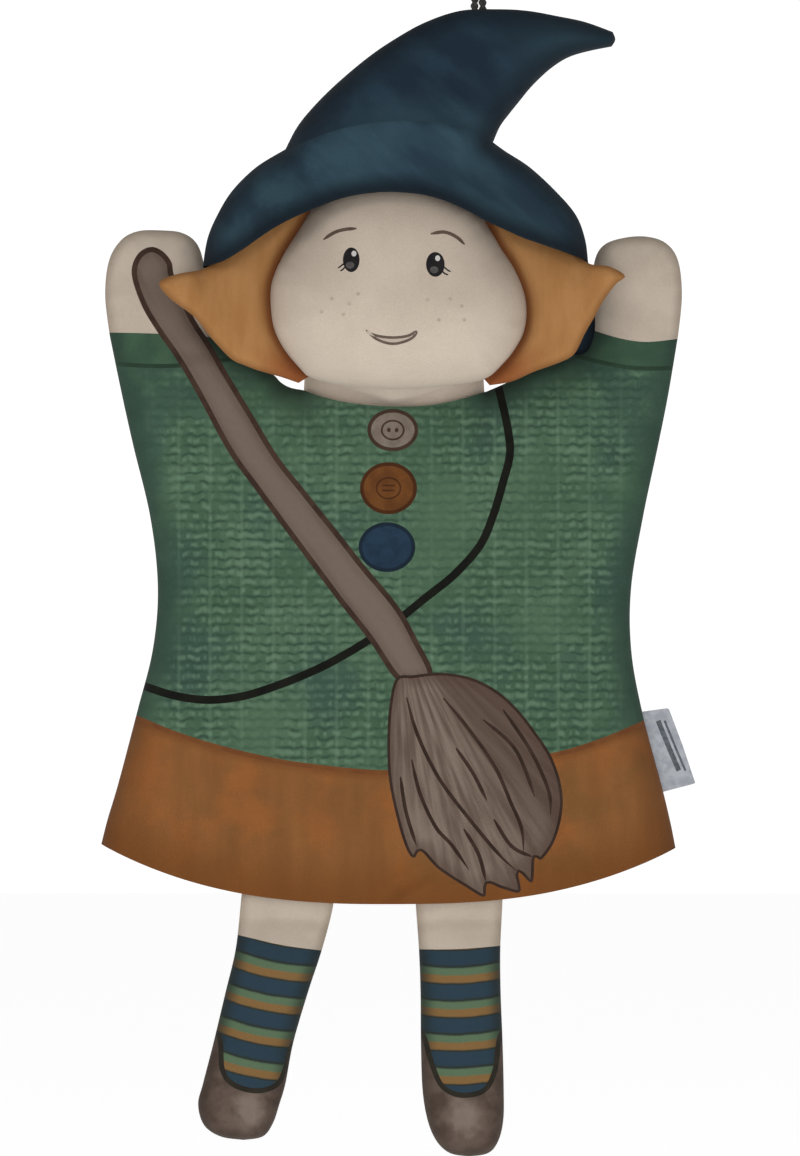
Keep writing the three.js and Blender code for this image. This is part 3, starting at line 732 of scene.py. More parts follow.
STRANDS = [
    [(3.8, 53.5), (6.7, 43.7), (12.3, 32.4), (20, 22.1), (27.7, 12.9), (32.6, 8.4)],
    [(13.3, 53.4), (20, 45.2), (26.7, 35.5), (30.8, 26.3), (33.6, 19.5), (34.1, 12.9)],
    [(5.1, 37.5), (7.2, 28.8), (11.3, 20), (15.4, 15.4), (20, 8.8)],
    [(16.6, 40.4), (21, 33.9), (24.6, 26.8)],
    [(28.8, 50.4), (36, 39.6), (40.6, 29.3), (41.1, 23.1)],
    [(23.6, 47.8), (32, 40), (37, 27.8)],
    [(2.2, 33), (3.6, 24), (6.4, 15)],
    [(18.6, 19.5), (22.4, 13), (24.3, 6)],
    [(26.4, 22), (31, 15), (36.6, 12.2)],
]
STRAP = [(27.3, 135.5), (28.4, 131), (30.1, 123), (30.6, 116.6), (28.8, 109.3), (26.2, 100.6),
         (22.8, 92.9), (16.3, 85.5), (9, 79.6), (1, 73.2), (-6.8, 67.9), (-14.4, 63.4),
         (-21.1, 60.1), (-30.1, 56.5), (-39, 53.8), (-48, 52.9), (-56.9, 54.1), (-66.1, 57)]
STRAP_BACK = [(27.3, 135.5), (20, 118), (4, 98), (-16, 80), (-38, 66), (-56, 58.6), (-66.1, 57)]
SKIRT_TOP = [(-70, 49.6), (-65.4, 47.8), (-56.9, 44.4), (-48, 41.5), (-36.8, 38.6), (-23.4, 36.1),
             (-1.8, 34.1), (20, 35.4), (41.6, 38.6), (54, 42.2), (65.3, 46.8), (70, 49)]
CUFF = {"right": [(-78, 148.4), (-60, 147.9), (-44, 146.9)],
        "left": [(49, 149.9), (52.8, 148.7), (59.3, 146.7), (66, 145.8), (73.9, 146.6),
                 (79, 147.4)]}
SLEEVE_LINE = {"right": [(-76, 140.7), (-66, 139.7), (-55, 139.7), (-40, 141.6)],
               "left": [(47, 142.6), (52, 141.1), (59.3, 139.5), (66, 138.9), (76, 139.2)]}
# each button: its middle, half width and half height, and the print of its face and its rim
BUTTONS = [(0.2, 122.9, 6.6, 5.5, "button_grey", "button_ink"),
           (-0.9, 107.8, 7.4, 6.75, "button_rust", "button_rust_ink"),
           (-1.3, 92.5, 7.35, 6.45, "button_navy", "button_navy_ink")]
RIM = 0.95                    # width of a button's dark rim

handle_line, bristle_line = smooth(HANDLE, 1.0, True), smooth(BRISTLE, 0.8, True)
handle_core, bristle_core = shrink(handle_line, 1.4), shrink(bristle_line, 0.75)
strands = [ribbon(points, 0.95, 0.9, (0.4, 0.15)) for points in STRANDS]
skirt_top = smooth(SKIRT_TOP, 1.1)
skirt_area = np.vstack([skirt_top, [(BEYOND, 49), (BEYOND, -10), (-BEYOND, -10), (-BEYOND, 49)]])
cuffs = {side: smooth(CUFF[side], 1.1) for side in CUFF}
skin_areas = [
    np.vstack([cuffs["right"], [(-30, 146.9), (-30, 190), (-BEYOND, 190), (-BEYOND, 148)]]),
    np.vstack([cuffs["left"], [(BEYOND, 147), (BEYOND, 190), (48.9, 190)]])]
plain_areas = [
    np.vstack([smooth(SLEEVE_LINE["right"], 2), [(-30, 150), (-BEYOND, 150), (-BEYOND, 140)]]),
    np.vstack([smooth(SLEEVE_LINE["left"], 2), [(BEYOND, 140), (BEYOND, 150), (46, 150)]])]

front_layers = [("plain_green", area) for area in plain_areas]
front_layers += [("sleeve_line", ribbon(SLEEVE_LINE[side], 1.1)) for side in SLEEVE_LINE]
front_layers += [("skin", area) for area in skin_areas]
front_layers += [("skirt_brown", skirt_area), ("skirt_line", ribbon(SKIRT_TOP, 1.2))]
back_layers = [*front_layers, ("strap", ribbon(STRAP_BACK, 2.1))]
front_layers += [("strap", ribbon(STRAP, 2.1))]
for bx, bz, rx, rz, fill, ink in BUTTONS:
    front_layers += [(ink, oval(bx, bz, rx, rz)), (fill, oval(bx, bz, rx - RIM, rz - RIM))]
(gx, gz, *_), (ox, oz, *_), _ = BUTTONS
front_layers += [("button_ink", oval(gx, gz, 3.1, 2.7, 0.5)),
                 ("button_grey", oval(gx, gz, 2.6, 2.2, 0.5)),
                 *[("button_ink", oval(gx + hole, gz, 0.5, 0.6, 0.4)) for hole in (-1, 1)],
                 ("button_rust_ink", oval(ox, oz, 3.3, 2.9, 0.5)),
                 ("button_rust", oval(ox, oz, 2.9, 2.5, 0.5)),
                 *[("button_rust_ink", ribbon([(ox - 1.6, oz + up), (ox + 1.6, oz + up)], 0.4, 0.6))
                   for up in (0.7, -0.6)]]
front_layers += [("broom_ink", handle_line), ("handle", handle_core),
                 ("bristle_ink", bristle_line), ("bristle", bristle_core)]
front_layers += [("bristle_ink", strand) for strand in strands]

# ---------------------------------------------------------------- the glove, sleeves and hands
ARM_AIM = {"right": np.array([-0.6, 0.8]), "left": np.array([0.6, 0.8])}
ARM_START, ARM_END = 122, 145.5
HAND_START, HAND_END = 147, 152
split_lines = [[(-70, 100), (-20, 137.5)], [(70, 100), (20, 137.5)],
               [(-80, CUFF_SPLIT), (-40, CUFF_SPLIT)], [(46, CUFF_SPLIT), (80, CUFF_SPLIT)]]

cuts = [(line, False) for line in (skirt_top, *cuffs.values())]
cuts += [(resample(line, 1.2), False) for line in split_lines]
cuts += [(polygon, True) for name, polygon in [*front_layers, back_layers[-1]]
         if name not in ("plain_green", "skin", "skirt_brown")]
body = Flat(BODY_OUTLINE, [edge_of["right"], edge_of["left"]], STEP, cuts)

body_fullness = table([(0, 15.5), (60, 12.5), (100, 9.5), (125, 7.2), (147, 6.2), (175, 6)])
body_rounding = table([(0, 34), (60, 32), (100, 24), (130, 13.5), (147, 11.5), (175, 11.5)])
BODY_FOLDS = [
    ([(-66, 112), (-58, 117), (-49, 124)], 2.2, 0.8),
    ([(-68, 104), (-57, 106), (-47, 112)], 2.6, 0.7),
    ([(67, 112), (59, 118), (50, 125)], 2.2, 0.8),
    ([(68, 103), (58, 106), (47, 113)], 2.6, 0.7),
    ([(-40, 139), (-36, 131), (-34, 122)], 2.4, 0.7),
    ([(42, 137.5), (38, 130), (36, 121)], 2.4, 0.7),
    ([(-46, 146.5), (-50, 143), (-55, 142)], 1.6, 0.6),
    ([(52, 147), (55, 143.5), (60, 142.6)], 1.6, 0.6),
    ([(-22, 131), (-19, 124), (-18, 116)], 2.2, 0.6),
    ([(23, 130), (21, 123), (20, 115)], 2.2, 0.6),
    ([(-1, 1.5), (4, 5), (10, 8.2)], 1.2, 0.9),
    ([(-48, 9), (-42, 20), (-40, 34)], 3.2, 0.8),
    ([(50, 9), (45, 20), (43, 32)], 3.2, 0.7),
    ([(-63, 66), (-55, 66), (-47, 63)], 2.6, 0.6),
    ([(63, 70), (55, 71), (47, 68)], 2.6, 0.6),
]


def body_depth(z, dist):
    return mix(SEAM_HALF, body_fullness(z), bulge(dist / body_rounding(z)))


def hem_wave(x, z, dist, seed):
    """Slow waves along the hem, which the outer cloth shares with the lining."""
    return 1.5 * rumple(x, 0 * z, 24, seed + 8) * ease((40 - z) / 40) * ease(dist / 12)


def body_cloth(flat, seed):
    """The outer surface's distance from the middle, with the give of padded, sewn cloth."""
    x, z, dist = flat.x, flat.z, flat.dist
    depth = body_depth(z, dist)
    soft = ease(dist / 12)
    depth += 0.75 * rumple(x, z, 34, seed) * soft + 0.3 * rumple(x, z, 13, seed + 4) * soft
    depth += hem_wave(x, z, dist, seed)
    depth += 0.85 * puckers(dist, flat.along, 4.2, 5.5, seed + 2) * ease(dist / 1.2)
    depth -= creases(x, z, *BODY_FOLDS)
    return np.maximum(depth, SEAM_HALF)


body.values["hem"] = body.z - hem_height(body.x)
body.values["waist"] = np.interp(body.x, *skirt_top.T) - body.z
ink = np.full(len(body.x), FAR_FROM_SEAM)
for line in (handle_line, bristle_line):
    inside = within(line, body.x, body.z)
    closed = np.vstack([line, line[:1]])
    ink[inside] = distance(closed, body.x[inside], body.z[inside])[0]
body.values["ink"] = ink

SEED = {"front": 1.0, "back": 21.0}
faces = {}                    # the surface towards the front, the one behind it and the print
for face, layers in (("front", front_layers), ("back", back_layers)):
    depth = body_cloth(body, SEED[face])
    inner = np.maximum(depth - CLOTH, 0.1 * depth)
    faces[face] = ((-depth, -inner) if face == "front" else (inner, depth),
                   body.paint("knit_green", layers))

toward = {side: body.centre @ ARM_AIM[side] for side in ARM_AIM}
on_arm = {side: (toward[side] >= ARM_START) & (body.centre[:, 0] * sign > 0)
          for side, sign in (("right", -1), ("left", 1))}
on_torso = ~(on_arm["right"] | on_arm["left"])
above_cuff = body.centre[:, 1] >= CUFF_SPLIT

for face, (surfaces, paint) in faces.items():
    panel = solid(f"tunic_{face}", body, *surfaces, paint, keep=on_torso)
    ride(panel, "torso", "tunic_cloth", f"tunic_{face}_panel")

for side in ("right", "left"):
    arm = on_arm[side] & ~above_cuff
    start, end = (np.insert(ARM_AIM[side] * far, 1, 0) for far in (ARM_START, ARM_END))
    for face, (surfaces, paint) in faces.items():
        sleeve = solid(f"{side}_sleeve_{face}_cloth", body, *surfaces, paint, keep=arm)
        bend(sleeve, ("torso", f"{side}_arm"), start, end, "tunic_cloth", f"{side}_sleeve_{face}")
    (front_surfaces, front_paint), (back_surfaces, back_paint) = faces.values()
    hand = solid(f"{side}_hand", body, front_surfaces[0], back_surfaces[1], front_paint,
                 back_paint, rim="skin_thread", keep=on_arm[side] & above_cuff)
    bend(hand, (f"{side}_arm", f"{side}_hand"), (0, 0, HAND_START), (0, 0, HAND_END), "skin_cloth",
         f"{side}_hand_front", f"{side}_hand_back", f"{side}_hand_wadding")

# ---------------------------------------------------------------- lining, seen inside the hem
LINING_HEM, LINING_INSET = 1.6, 1.7    # how far the lining stays from the hem and side seams
LINING_GAP, LINING_CLOTH = 0.35, 0.8
lining_sides = {side: edge_of[side][:int(np.argmax(edge_of[side] @ ARM_AIM[side] > ARM_START - 6))]
                for side in edge_of}
lining_hem = np.stack([hem_x, hem_height(hem_x) + LINING_HEM], axis=1)
inset = np.array([LINING_INSET, 0])
lining_outline = join(lining_sides["right"] + inset,
                      smooth([lining_sides["right"][-1] + inset, (-30, 118), (0, 121), (30, 118),
                              lining_sides["left"][-1] - inset], 2),
                      (lining_sides["left"] - inset)[::-1],
                      lining_hem[2:-2])
lining = Flat(lining_outline, [edge_of["right"], edge_of["left"]], 2.6, rings=(0.8, 2.0))
for face in SEED:
    depth = body_depth(lining.z, lining.dist)
    depth += hem_wave(lining.x, lining.z, lining.dist, SEED[face])
    outer = np.maximum(depth - CLOTH - LINING_GAP, 0.3)
    inner = np.maximum(outer - LINING_CLOTH, 0.12)
    surfaces = (-outer, -inner) if face == "front" else (inner, outer)
    sheet = solid(f"lining_{face}_sheet", lining, *surfaces, lining.paint("lining"), rim="lining")
    ride(sheet, "torso", "lining_cloth", f"lining_{face}")

# ---------------------------------------------------------------- neck
NECK_LOW, NECK_HIGH = 121, 139.5
neck_right = smooth([(-22.6, NECK_LOW), (-23, 130), (-22.6, NECK_HIGH)], 1.2)
neck_left = smooth([(23.6, NECK_HIGH), (24.1, 130), (23.6, NECK_LOW)], 1.2)
neck_outline = join(neck_right, resample([neck_right[-1], neck_left[0]], 1.2),
                    neck_left, resample([neck_left[-1], neck_right[0]], 1.2))
neck = Flat(neck_outline, [neck_right, neck_left], 1.3)
collar = np.interp(neck.x, *neck_line.T)
collar_room = np.interp(neck.x, neck_line[:, 0], body_depth(
    neck_line[:, 1], distance([edge_of["right"], edge_of["left"]], *neck_line.T)[0]))
hidden = np.maximum(np.minimum(collar_room - CLOTH - 1.6, 4.2), 0.4) * bulge((neck.dist + 0.3) / 4)
swing = 0.25 * np.abs(neck.x)
rise_front = ease((neck.z - collar - swing + 0.4) / 7.5)
rise_back = ease((neck.z - collar - swing) / 9)
neck_front = -mix(hidden, 15.2, rise_front) - 0.25 * rumple(neck.x, neck.z, 7, 51)
neck_back = mix(hidden, -9.5, rise_back)
neck.values["seam"] = np.full(len(neck.x), FAR_FROM_SEAM)
neck_piece = solid("neck_cloth", neck, neck_front, np.maximum(neck_back, neck_front + 1.2),
                   neck.paint("face_skin"), rim="face_skin")
bend(neck_piece, ("neck", "head"), (0, 0, 131), (0, 0, 138), "skin_cloth",
     "neck_front_band", "neck_back_band")

# ---------------------------------------------------------------- head
CHIN = [(-22.3, 136.9), (-17, 135.2), (-8.3, 133.9), (0.8, 133.4), (9.9, 133.8), (17.5, 134.7),
        (24.5, 136.2)]
FACE_LEFT = [(24.5, 136.2), (28.3, 139.3), (31.6, 143.2), (34.2, 148), (35, 153.2), (34.3, 158.6),
             (31.8, 164.6), (28.2, 170.2), (25, 175.6), (20.6, 182), (12, 187.5), (0.5, 190)]
FACE_RIGHT = [(0.5, 190), (-11, 187.6), (-19.2, 182), (-24.4, 174.4), (-28.4, 168), (-31.1, 161.7),
              (-31.6, 156.3), (-30.7, 149.2), (-27.6, 143), (-22.3, 136.9)]
head_outline = join(smooth(CHIN + FACE_LEFT[1:], 1.0), smooth(FACE_RIGHT, 1.0))
# each eye: its middle, half width and half height, and where its glint is
EYES = [(-10.5, 166.6, 2.15, 3.2, -9.8, 168.2), (11.2, 165.4, 2.4, 3.2, 11.8, 167)]
BROWS = [[(-17.7, 171.9), (-14.9, 173.7), (-12, 174.5), (-9.1, 174.7)],
         [(10, 173.3), (13.5, 173.8), (16.6, 172.6), (18.8, 170.6)]]
LASHES = [[(-12.2, 165.8), (-13.3, 164.9), (-14, 164.4)],
          [(-12, 164.8), (-12.8, 164), (-13.4, 163.7)],
          [(13.3, 164.9), (14.3, 164), (15.2, 163.5)],
          [(12.9, 163.7), (13.7, 163), (14.6, 162.7)]]
MOUTH = [(-6.9, 148.6), (-5.2, 147.8), (-3, 147.2), (0.3, 146.9), (3.9, 147.3), (6.1, 148.4),
         (6.6, 147.7), (5.6, 146.3), (3.4, 145.2), (0.6, 144.6), (-2.1, 145), (-4.8, 146.3)]
FRECKLES = [(-8.7, 157.8), (-12.5, 152.5), (9.2, 156.2), (15.1, 156.5), (18, 154.7), (12.1, 151.1),
            (18.7, 151.1), (-15.5, 156.6), (-18.2, 153.2), (-11, 155.2)]
mouth_line = smooth(MOUTH, 0.5, True)
face_layers = []
for ex, ez, rx, rz, hx, hz in EYES:
    face_layers += [("eye_dark", oval(ex, ez, rx, rz, 0.45)),
                    ("eye_grey", oval(ex - 0.3, ez - 1.4, 1.1, 0.9, 0.4)),
                    ("eye_white", oval(hx, hz, 0.65, 0.75, 0.3))]
face_layers += [("brow", ribbon(points, 0.9, 0.6, (0.4, 0.4))) for points in BROWS]
face_layers += [("eye_dark", ribbon(points, 0.4, 0.4, (1, 0.3))) for points in LASHES]
face_layers += [("mouth_ink", mouth_line), ("mouth", shrink(mouth_line, 0.7))]
face_layers += [("freckle", oval(fx, fz, 0.55, 0.5, 0.4)) for fx, fz in FRECKLES]
head_edge = np.vstack([head_outline, head_outline[:1]])
head = Flat(head_outline, [head_edge], 1.15, [(polygon, True) for _, polygon in face_layers])
head.values["face"] = np.full(len(head.x), FAR_FROM_FACE)


def head_cloth(seed):
    depth = mix(SEAM_HALF, HEAD_HALF_DEPTH, bulge(head.dist / 26))
    depth += 0.5 * rumple(head.x, head.z, 20, seed) * ease(head.dist / 9)
    depth += 0.8 * puckers(head.dist, head.along, 3.4, 4.5, seed + 2) * ease(head.dist / 1.0)
    return np.maximum(depth, SEAM_HALF)


head_piece = solid("head_cushion", head, HEAD_Y - head_cloth(61.0), HEAD_Y + head_cloth(71.0),
                   head.paint("face_skin", face_layers), head.paint("hair_ochre"),
                   rim="skin_thread")
ride(head_piece, "head", "skin_cloth", "face_panel", "head_back_panel", "head_stuffing",
     "head_finger_pocket")

# ---------------------------------------------------------------- hat
ARCH = [(-49, 165.2), (-44.2, 166.3), (-39.2, 169), (-34.5, 172.2), (-29.9, 175.2), (-25.2, 177.6),
        (-21, 179.4), (-16, 181.5), (-10, 183.2), (-2, 184.1), (6, 183.7), (12, 182.4), (18, 180),
        (24.4, 176.6), (30, 174), (35, 171.9), (43, 169.3), (50.8, 166.6)]
NAPE = [(-49, 165.2), (-43, 158), (-36.5, 151), (-24, 147), (0.5, 145.6), (25, 144.6), (38, 143.2),
        (46, 142.2), (50.4, 143), (52.4, 147.5), (52.6, 153), (52, 160), (50.8, 166.6)]
HAT_LEFT = [(50.8, 166.6), (50, 172.4), (47.6, 178.6), (42.2, 184.9), (35.6, 191), (29.5, 195),
            (26.2, 197.4)]
CROWN_LOWER = [(26.2, 197.4), (28, 201.5), (30.2, 204.5), (33, 208), (36.5, 212.2), (41, 216.4),
               (45.5, 219.3), (50.5, 220.9), (56.9, 222.2)]
CROWN_TIP = [(56.9, 222.2), (57.9, 224), (57.2, 226)]
CROWN_UPPER = [(57.2, 226), (50, 228.6), (42.9, 230.1), (35, 231.5), (27, 231.9), (17.7, 231.5),
               (8.6, 228.5), (0.3, 223.9), (-6.5, 219.2), (-14, 212.9), (-20, 207), (-24.5, 201.5),
               (-27.6, 195.6)]
HAT_RIGHT = [(-27.6, 195.6), (-35.1, 191), (-41.3, 184.9), (-45.2, 178.6), (-47.8, 172.4),
             (-49, 165.2)]
BRIM_LINE = [(-34, 190.5), (-27.8, 194.8), (-20, 198.2), (-10.9, 201), (0, 202.4), (11, 202),
             (22.9, 199.7), (32, 195)]
arch, nape = smooth(ARCH, 1.1), smooth(NAPE, 1.2)
hat_edge = join(smooth(HAT_LEFT, 1.1), smooth(CROWN_LOWER, 1.1), smooth(CROWN_TIP, 0.7),
                smooth(CROWN_UPPER, 1.1), smooth(HAT_RIGHT, 1.1))
brim_line = smooth(BRIM_LINE, 1.1)
crown_fullness = table([(186, 17), (200, 15), (215, 12), (225, 9), (232, 7)])
HAT_FOLDS = [
    ([(25.5, 199), (17, 203), (8, 209)], 1.8, 1.3),
    ([(27, 202), (20, 208), (14, 216)], 2.0, 1.2),
    ([(33, 209), (27, 215), (22, 223)], 2.2, 0.9),
    ([(-23, 203), (-14, 206), (-5, 207)], 2.2, 0.7),
    ([(-44, 172), (-38, 179), (-29, 185)], 2.6, 0.6),
    ([(45, 173), (38, 180), (29, 186)], 2.6, 0.6),
]


def hat_cloth(flat, flange, reach, seed, lip_line, front):
    """The hat's distance from its seam plane, from the brim over the head and up the crown."""
    x, z, dist = flat.x, flat.z, flat.dist
    inside = np.where(within(head_outline, x, z), 1, -1) * distance(head_edge, x, z)[0] + 3
    over = mix(0, HEAD_HALF_DEPTH, bulge(np.maximum(inside, 0) / 29)) + 3.4 * ease(inside / 5)
    rise = 1.0 if front else ease((z - 178) / 14)
    puff = (crown_fullness(z) - flange) * ease(dist / 18) * rise
    low = smooth_max(flange * bulge((dist + 0.1) / reach) + puff, over)
    high = mix(SEAM_HALF, crown_fullness(z), bulge(dist / 17))
    depth = mix(low, high, ease((z - 184) / 14))
    if front:
        below = np.interp(x, *brim_line.T) - z
        depth += 1.0 * ease(below / 2.2 + 0.5) * ease(dist / 5)
        flat.values["fold"] = np.maximum(-below, 0)
    lip, _ = distance(lip_line, x, z)
    flat.values["lip"] = lip
    depth -= 1.1 * (1 - bulge(lip / 1.8))
    soft = ease(dist / 9)
    depth += 0.7 * rumple(x, z, 26, seed) * soft + 0.25 * rumple(x, z, 9, seed + 3) * soft
    depth += 0.9 * puckers(dist, flat.along, 4.0, 5, seed + 2) * ease(dist / 1.2)
    depth -= creases(x, z, *HAT_FOLDS)
    return np.maximum(depth, SEAM_HALF), lip


hat_outline = join(arch, hat_edge)
split = np.array([(-45, CROWN_SPLIT), (45, CROWN_SPLIT)], float)
hat_cuts = [(brim_line, False), (resample(split, 1.2), False)]
hat_front = Flat(hat_outline, [hat_edge], 1.35, hat_cuts)
hat_back = Flat(join(nape, hat_edge), [hat_edge], 1.6, hat_cuts)
REAR = (FLANGE_BACK, 3.5, 85.0, nape, False)
HAT_CLOTH, LIP_CLOTH = 1.9, 1.4         # thickness of the hat's open sides, and at the lip
LEAST_CLOTH = 0.05            # where they meet at the seam
depth, lip = hat_cloth(hat_front, FLANGE_FRONT, 5, 81.0, arch, True)
rear_of_front, _ = hat_cloth(hat_front, *REAR)
back_y, _ = hat_cloth(hat_back, *REAR)
brim_area = np.vstack([brim_line, [(80, 195), (80, 120), (-80, 120), (-80, 190)]])
hat_paint = hat_front.paint("hat_crown", [("hat_brim", brim_area)])
lower = hat_front.centre[:, 1] < CROWN_SPLIT
hat_front.values["lip"] = lip
inner = depth - mix(LIP_CLOTH, HAT_CLOTH, bulge(lip / 1.5))
brim_piece = solid("hat_front", hat_front, HEAD_Y - depth,
                   HEAD_Y - np.maximum(inner, LEAST_CLOTH), hat_paint, rim="hat_thread",
                   keep=lower)
ride(brim_piece, "head", "hat_cloth", "hat_front_panel")
crown_piece = solid("hat_crown", hat_front, HEAD_Y - depth, HEAD_Y + rear_of_front, hat_paint,
                    rim="hat_thread", keep=~lower)
bend(crown_piece, ("head", "crown"), (0, 0, CROWN_SPLIT), (0, 0, 200), "hat_cloth",
     "crown_front_panel", "crown_back_panel", "crown_stuffing")
hat_back.values["fold"] = np.full(len(hat_back.x), FAR_FROM_FOLD)
nape_piece = solid("hat_back", hat_back, HEAD_Y + np.maximum(back_y - HAT_CLOTH, LEAST_CLOTH),
                   HEAD_Y + back_y, hat_back.paint("hat_crown", [("hat_brim", brim_area)]),
                   rim="hat_thread", keep=hat_back.centre[:, 1] < CROWN_SPLIT)
ride(nape_piece, "head", "hat_cloth", "hat_back_panel")

# ---------------------------------------------------------------- hair flaps
HAIR = {
    "right": ([(-19.4, 182.5), (-26, 181), (-33, 177), (-39.5, 172), (-45, 167.3), (-49, 164.5),
               (-55.1, 163.2), (-59, 161.9), (-60.2, 160.3), (-57.5, 156.8), (-51.2, 152.1),
               (-47.3, 147.2), (-44, 143.5), (-41.2, 140.9), (-38, 139.5), (-34.8, 138.3),
               (-28.6, 136.5), (-24.2, 135)],
              [(-21.4, 136.8), (-26, 142.8), (-29.2, 149), (-30.1, 156), (-29.8, 161.4),
               (-27.2, 167.4), (-23.4, 173.6), (-18.6, 180)]),
    "left": ([(25.3, 134.4), (31, 135.4), (37, 138), (43.4, 140.3), (47.2, 142.5), (49.9, 147.7),
              (52.6, 152.4), (54.8, 156.4), (58, 160.6), (60.3, 162.6), (56.2, 165.1), (50.8, 166),
              (46, 170.6), (40, 173.8), (34, 177), (27, 180.8), (20.4, 183)],
             [(19.8, 180), (22.8, 176), (26.4, 169.6), (30.1, 164.2), (32.6, 158.3), (33.4, 153.1),
              (32.7, 148.3), (30.3, 144), (27.2, 140.4), (23, 137)]),
}
ROOT = {"right": -34, "left": 36}
for side, sign in (("right", -1), ("left", 1)):
    free, root = HAIR[side]
    free_line = smooth(free, 0.9)
    outline = join(free_line, smooth(root, 0.9))
    flap = Flat(outline, [free_line], 1.2)
    out = flap.x * sign
    under_brim = np.interp(flap.x, *arch.T) + np.maximum(out - 49, 0) * 2 - flap.z
    lean = 2.0 + 0.24 * np.maximum(out - abs(ROOT[side]), 0) * ease((under_brim + 2) / 11)
    from_face = distance(head_edge, flap.x, flap.z)[0] * np.where(
        within(head_outline, flap.x, flap.z), -1, 1)
    middle = HEAD_Y - 0.3 - lean * ease((from_face + 1) / 5)
    middle += 0.7 * rumple(flap.x, flap.z, 11, 91 + sign) * ease(from_face / 4)
    half = mix(SEAM_HALF, 1.9, bulge(flap.dist / 3.4)) * mix(0.35, 1, ease((from_face + 1) / 4))
    half += 0.3 * puckers(flap.dist, flap.along, 3.2, 3.4, 95 + sign) * ease(flap.dist / 1)
    half = np.maximum(half * mix(0.55, 1, ease((under_brim + 1) / 4)), SEAM_HALF)
    flap.values["face"] = np.maximum(from_face, 0)
    piece = solid(f"{side}_hair", flap, middle - half, middle + half, flap.paint("hair_ochre"),
                  rim="hair_ochre")
    bend(piece, ("head", f"{side}_hair"), (sign * 31, 0, 0), (sign * 39, 0, 0), "hair_cloth",
         f"{side}_hair_front_ply", f"{side}_hair_back_ply")

# ---------------------------------------------------------------- legs
LEGS = {
    "right": dict(
        outer=[(-38.6, 7), (-39.3, -0.7), (-40.6, -12), (-43.2, -23), (-46.3, -36), (-49, -46.5),
               (-50.3, -52), (-48.8, -57.4), (-44.5, -60.4), (-38.5, -61.3)],
        inner=[(-38.5, -61.3), (-33.5, -60.4), (-30.9, -57), (-29.2, -52), (-27.6, -46.5),
               (-25.6, -36), (-21.8, -23), (-18.2, -12), (-15.3, -0.7), (-14.8, 7)],
        sock=[(-50, -6.2), (-39.4, -8.2), (-28.5, -10.6), (-18.3, -12.1), (-8, -13.8)],
        down=(-0.182, -0.983), top=(-28.8, -10.2),
        shoe=[(-50, -30), (-47, -32.3), (-44.6, -35), (-43.9, -43), (-40.8, -46.8), (-35, -48.3),
              (-30, -46.9), (-27.7, -43), (-26.5, -38.5), (-25, -35.6), (-20, -31)],
        toe=(-36.8, -53.6), heel=[(-52, -42), (-37, -44.5), (-22, -39)]),
    "left": dict(
        outer=[(5.8, 7), (6.2, -0.7), (7, -12), (7.4, -23), (7.5, -36), (7.9, -48), (9.2, -56),
               (11.5, -61.5), (15, -64.7), (20, -65.6)],
        inner=[(20, -65.6), (25, -64.7), (27.6, -61.5), (28.9, -56), (29, -48), (28.7, -36),
               (28.2, -23), (28.1, -12), (28.6, -0.7), (28.9, 7)],
        sock=[(2, -12), (7.5, -11.8), (17.6, -11.6), (27.8, -10.9), (34, -10.6)],
        down=(0.039, -0.999), top=(17.6, -11.4),
        shoe=[(2, -29), (5.5, -31.5), (8.3, -34.6), (9.9, -40), (12.4, -46.3), (15.7, -48.9),
              (19.8, -49.4), (24.2, -47.9), (26.7, -43), (28, -34.6), (31, -31), (35, -29)],
        toe=(18.6, -55.2), heel=[(2, -40), (18, -44.5), (34, -40)]),
}
leg_fullness = table([(-65, 8.4), (-50, 8.2), (-16, 7.2), (-10, 5.6), (-4.4, 2.9), (-0.7, 1.8),
                      (7, 1.3)])
TOE_PATCH = (5.2, 6.5)        # half width and half height of the worn patch on a shoe
SHOE_TOP = -25
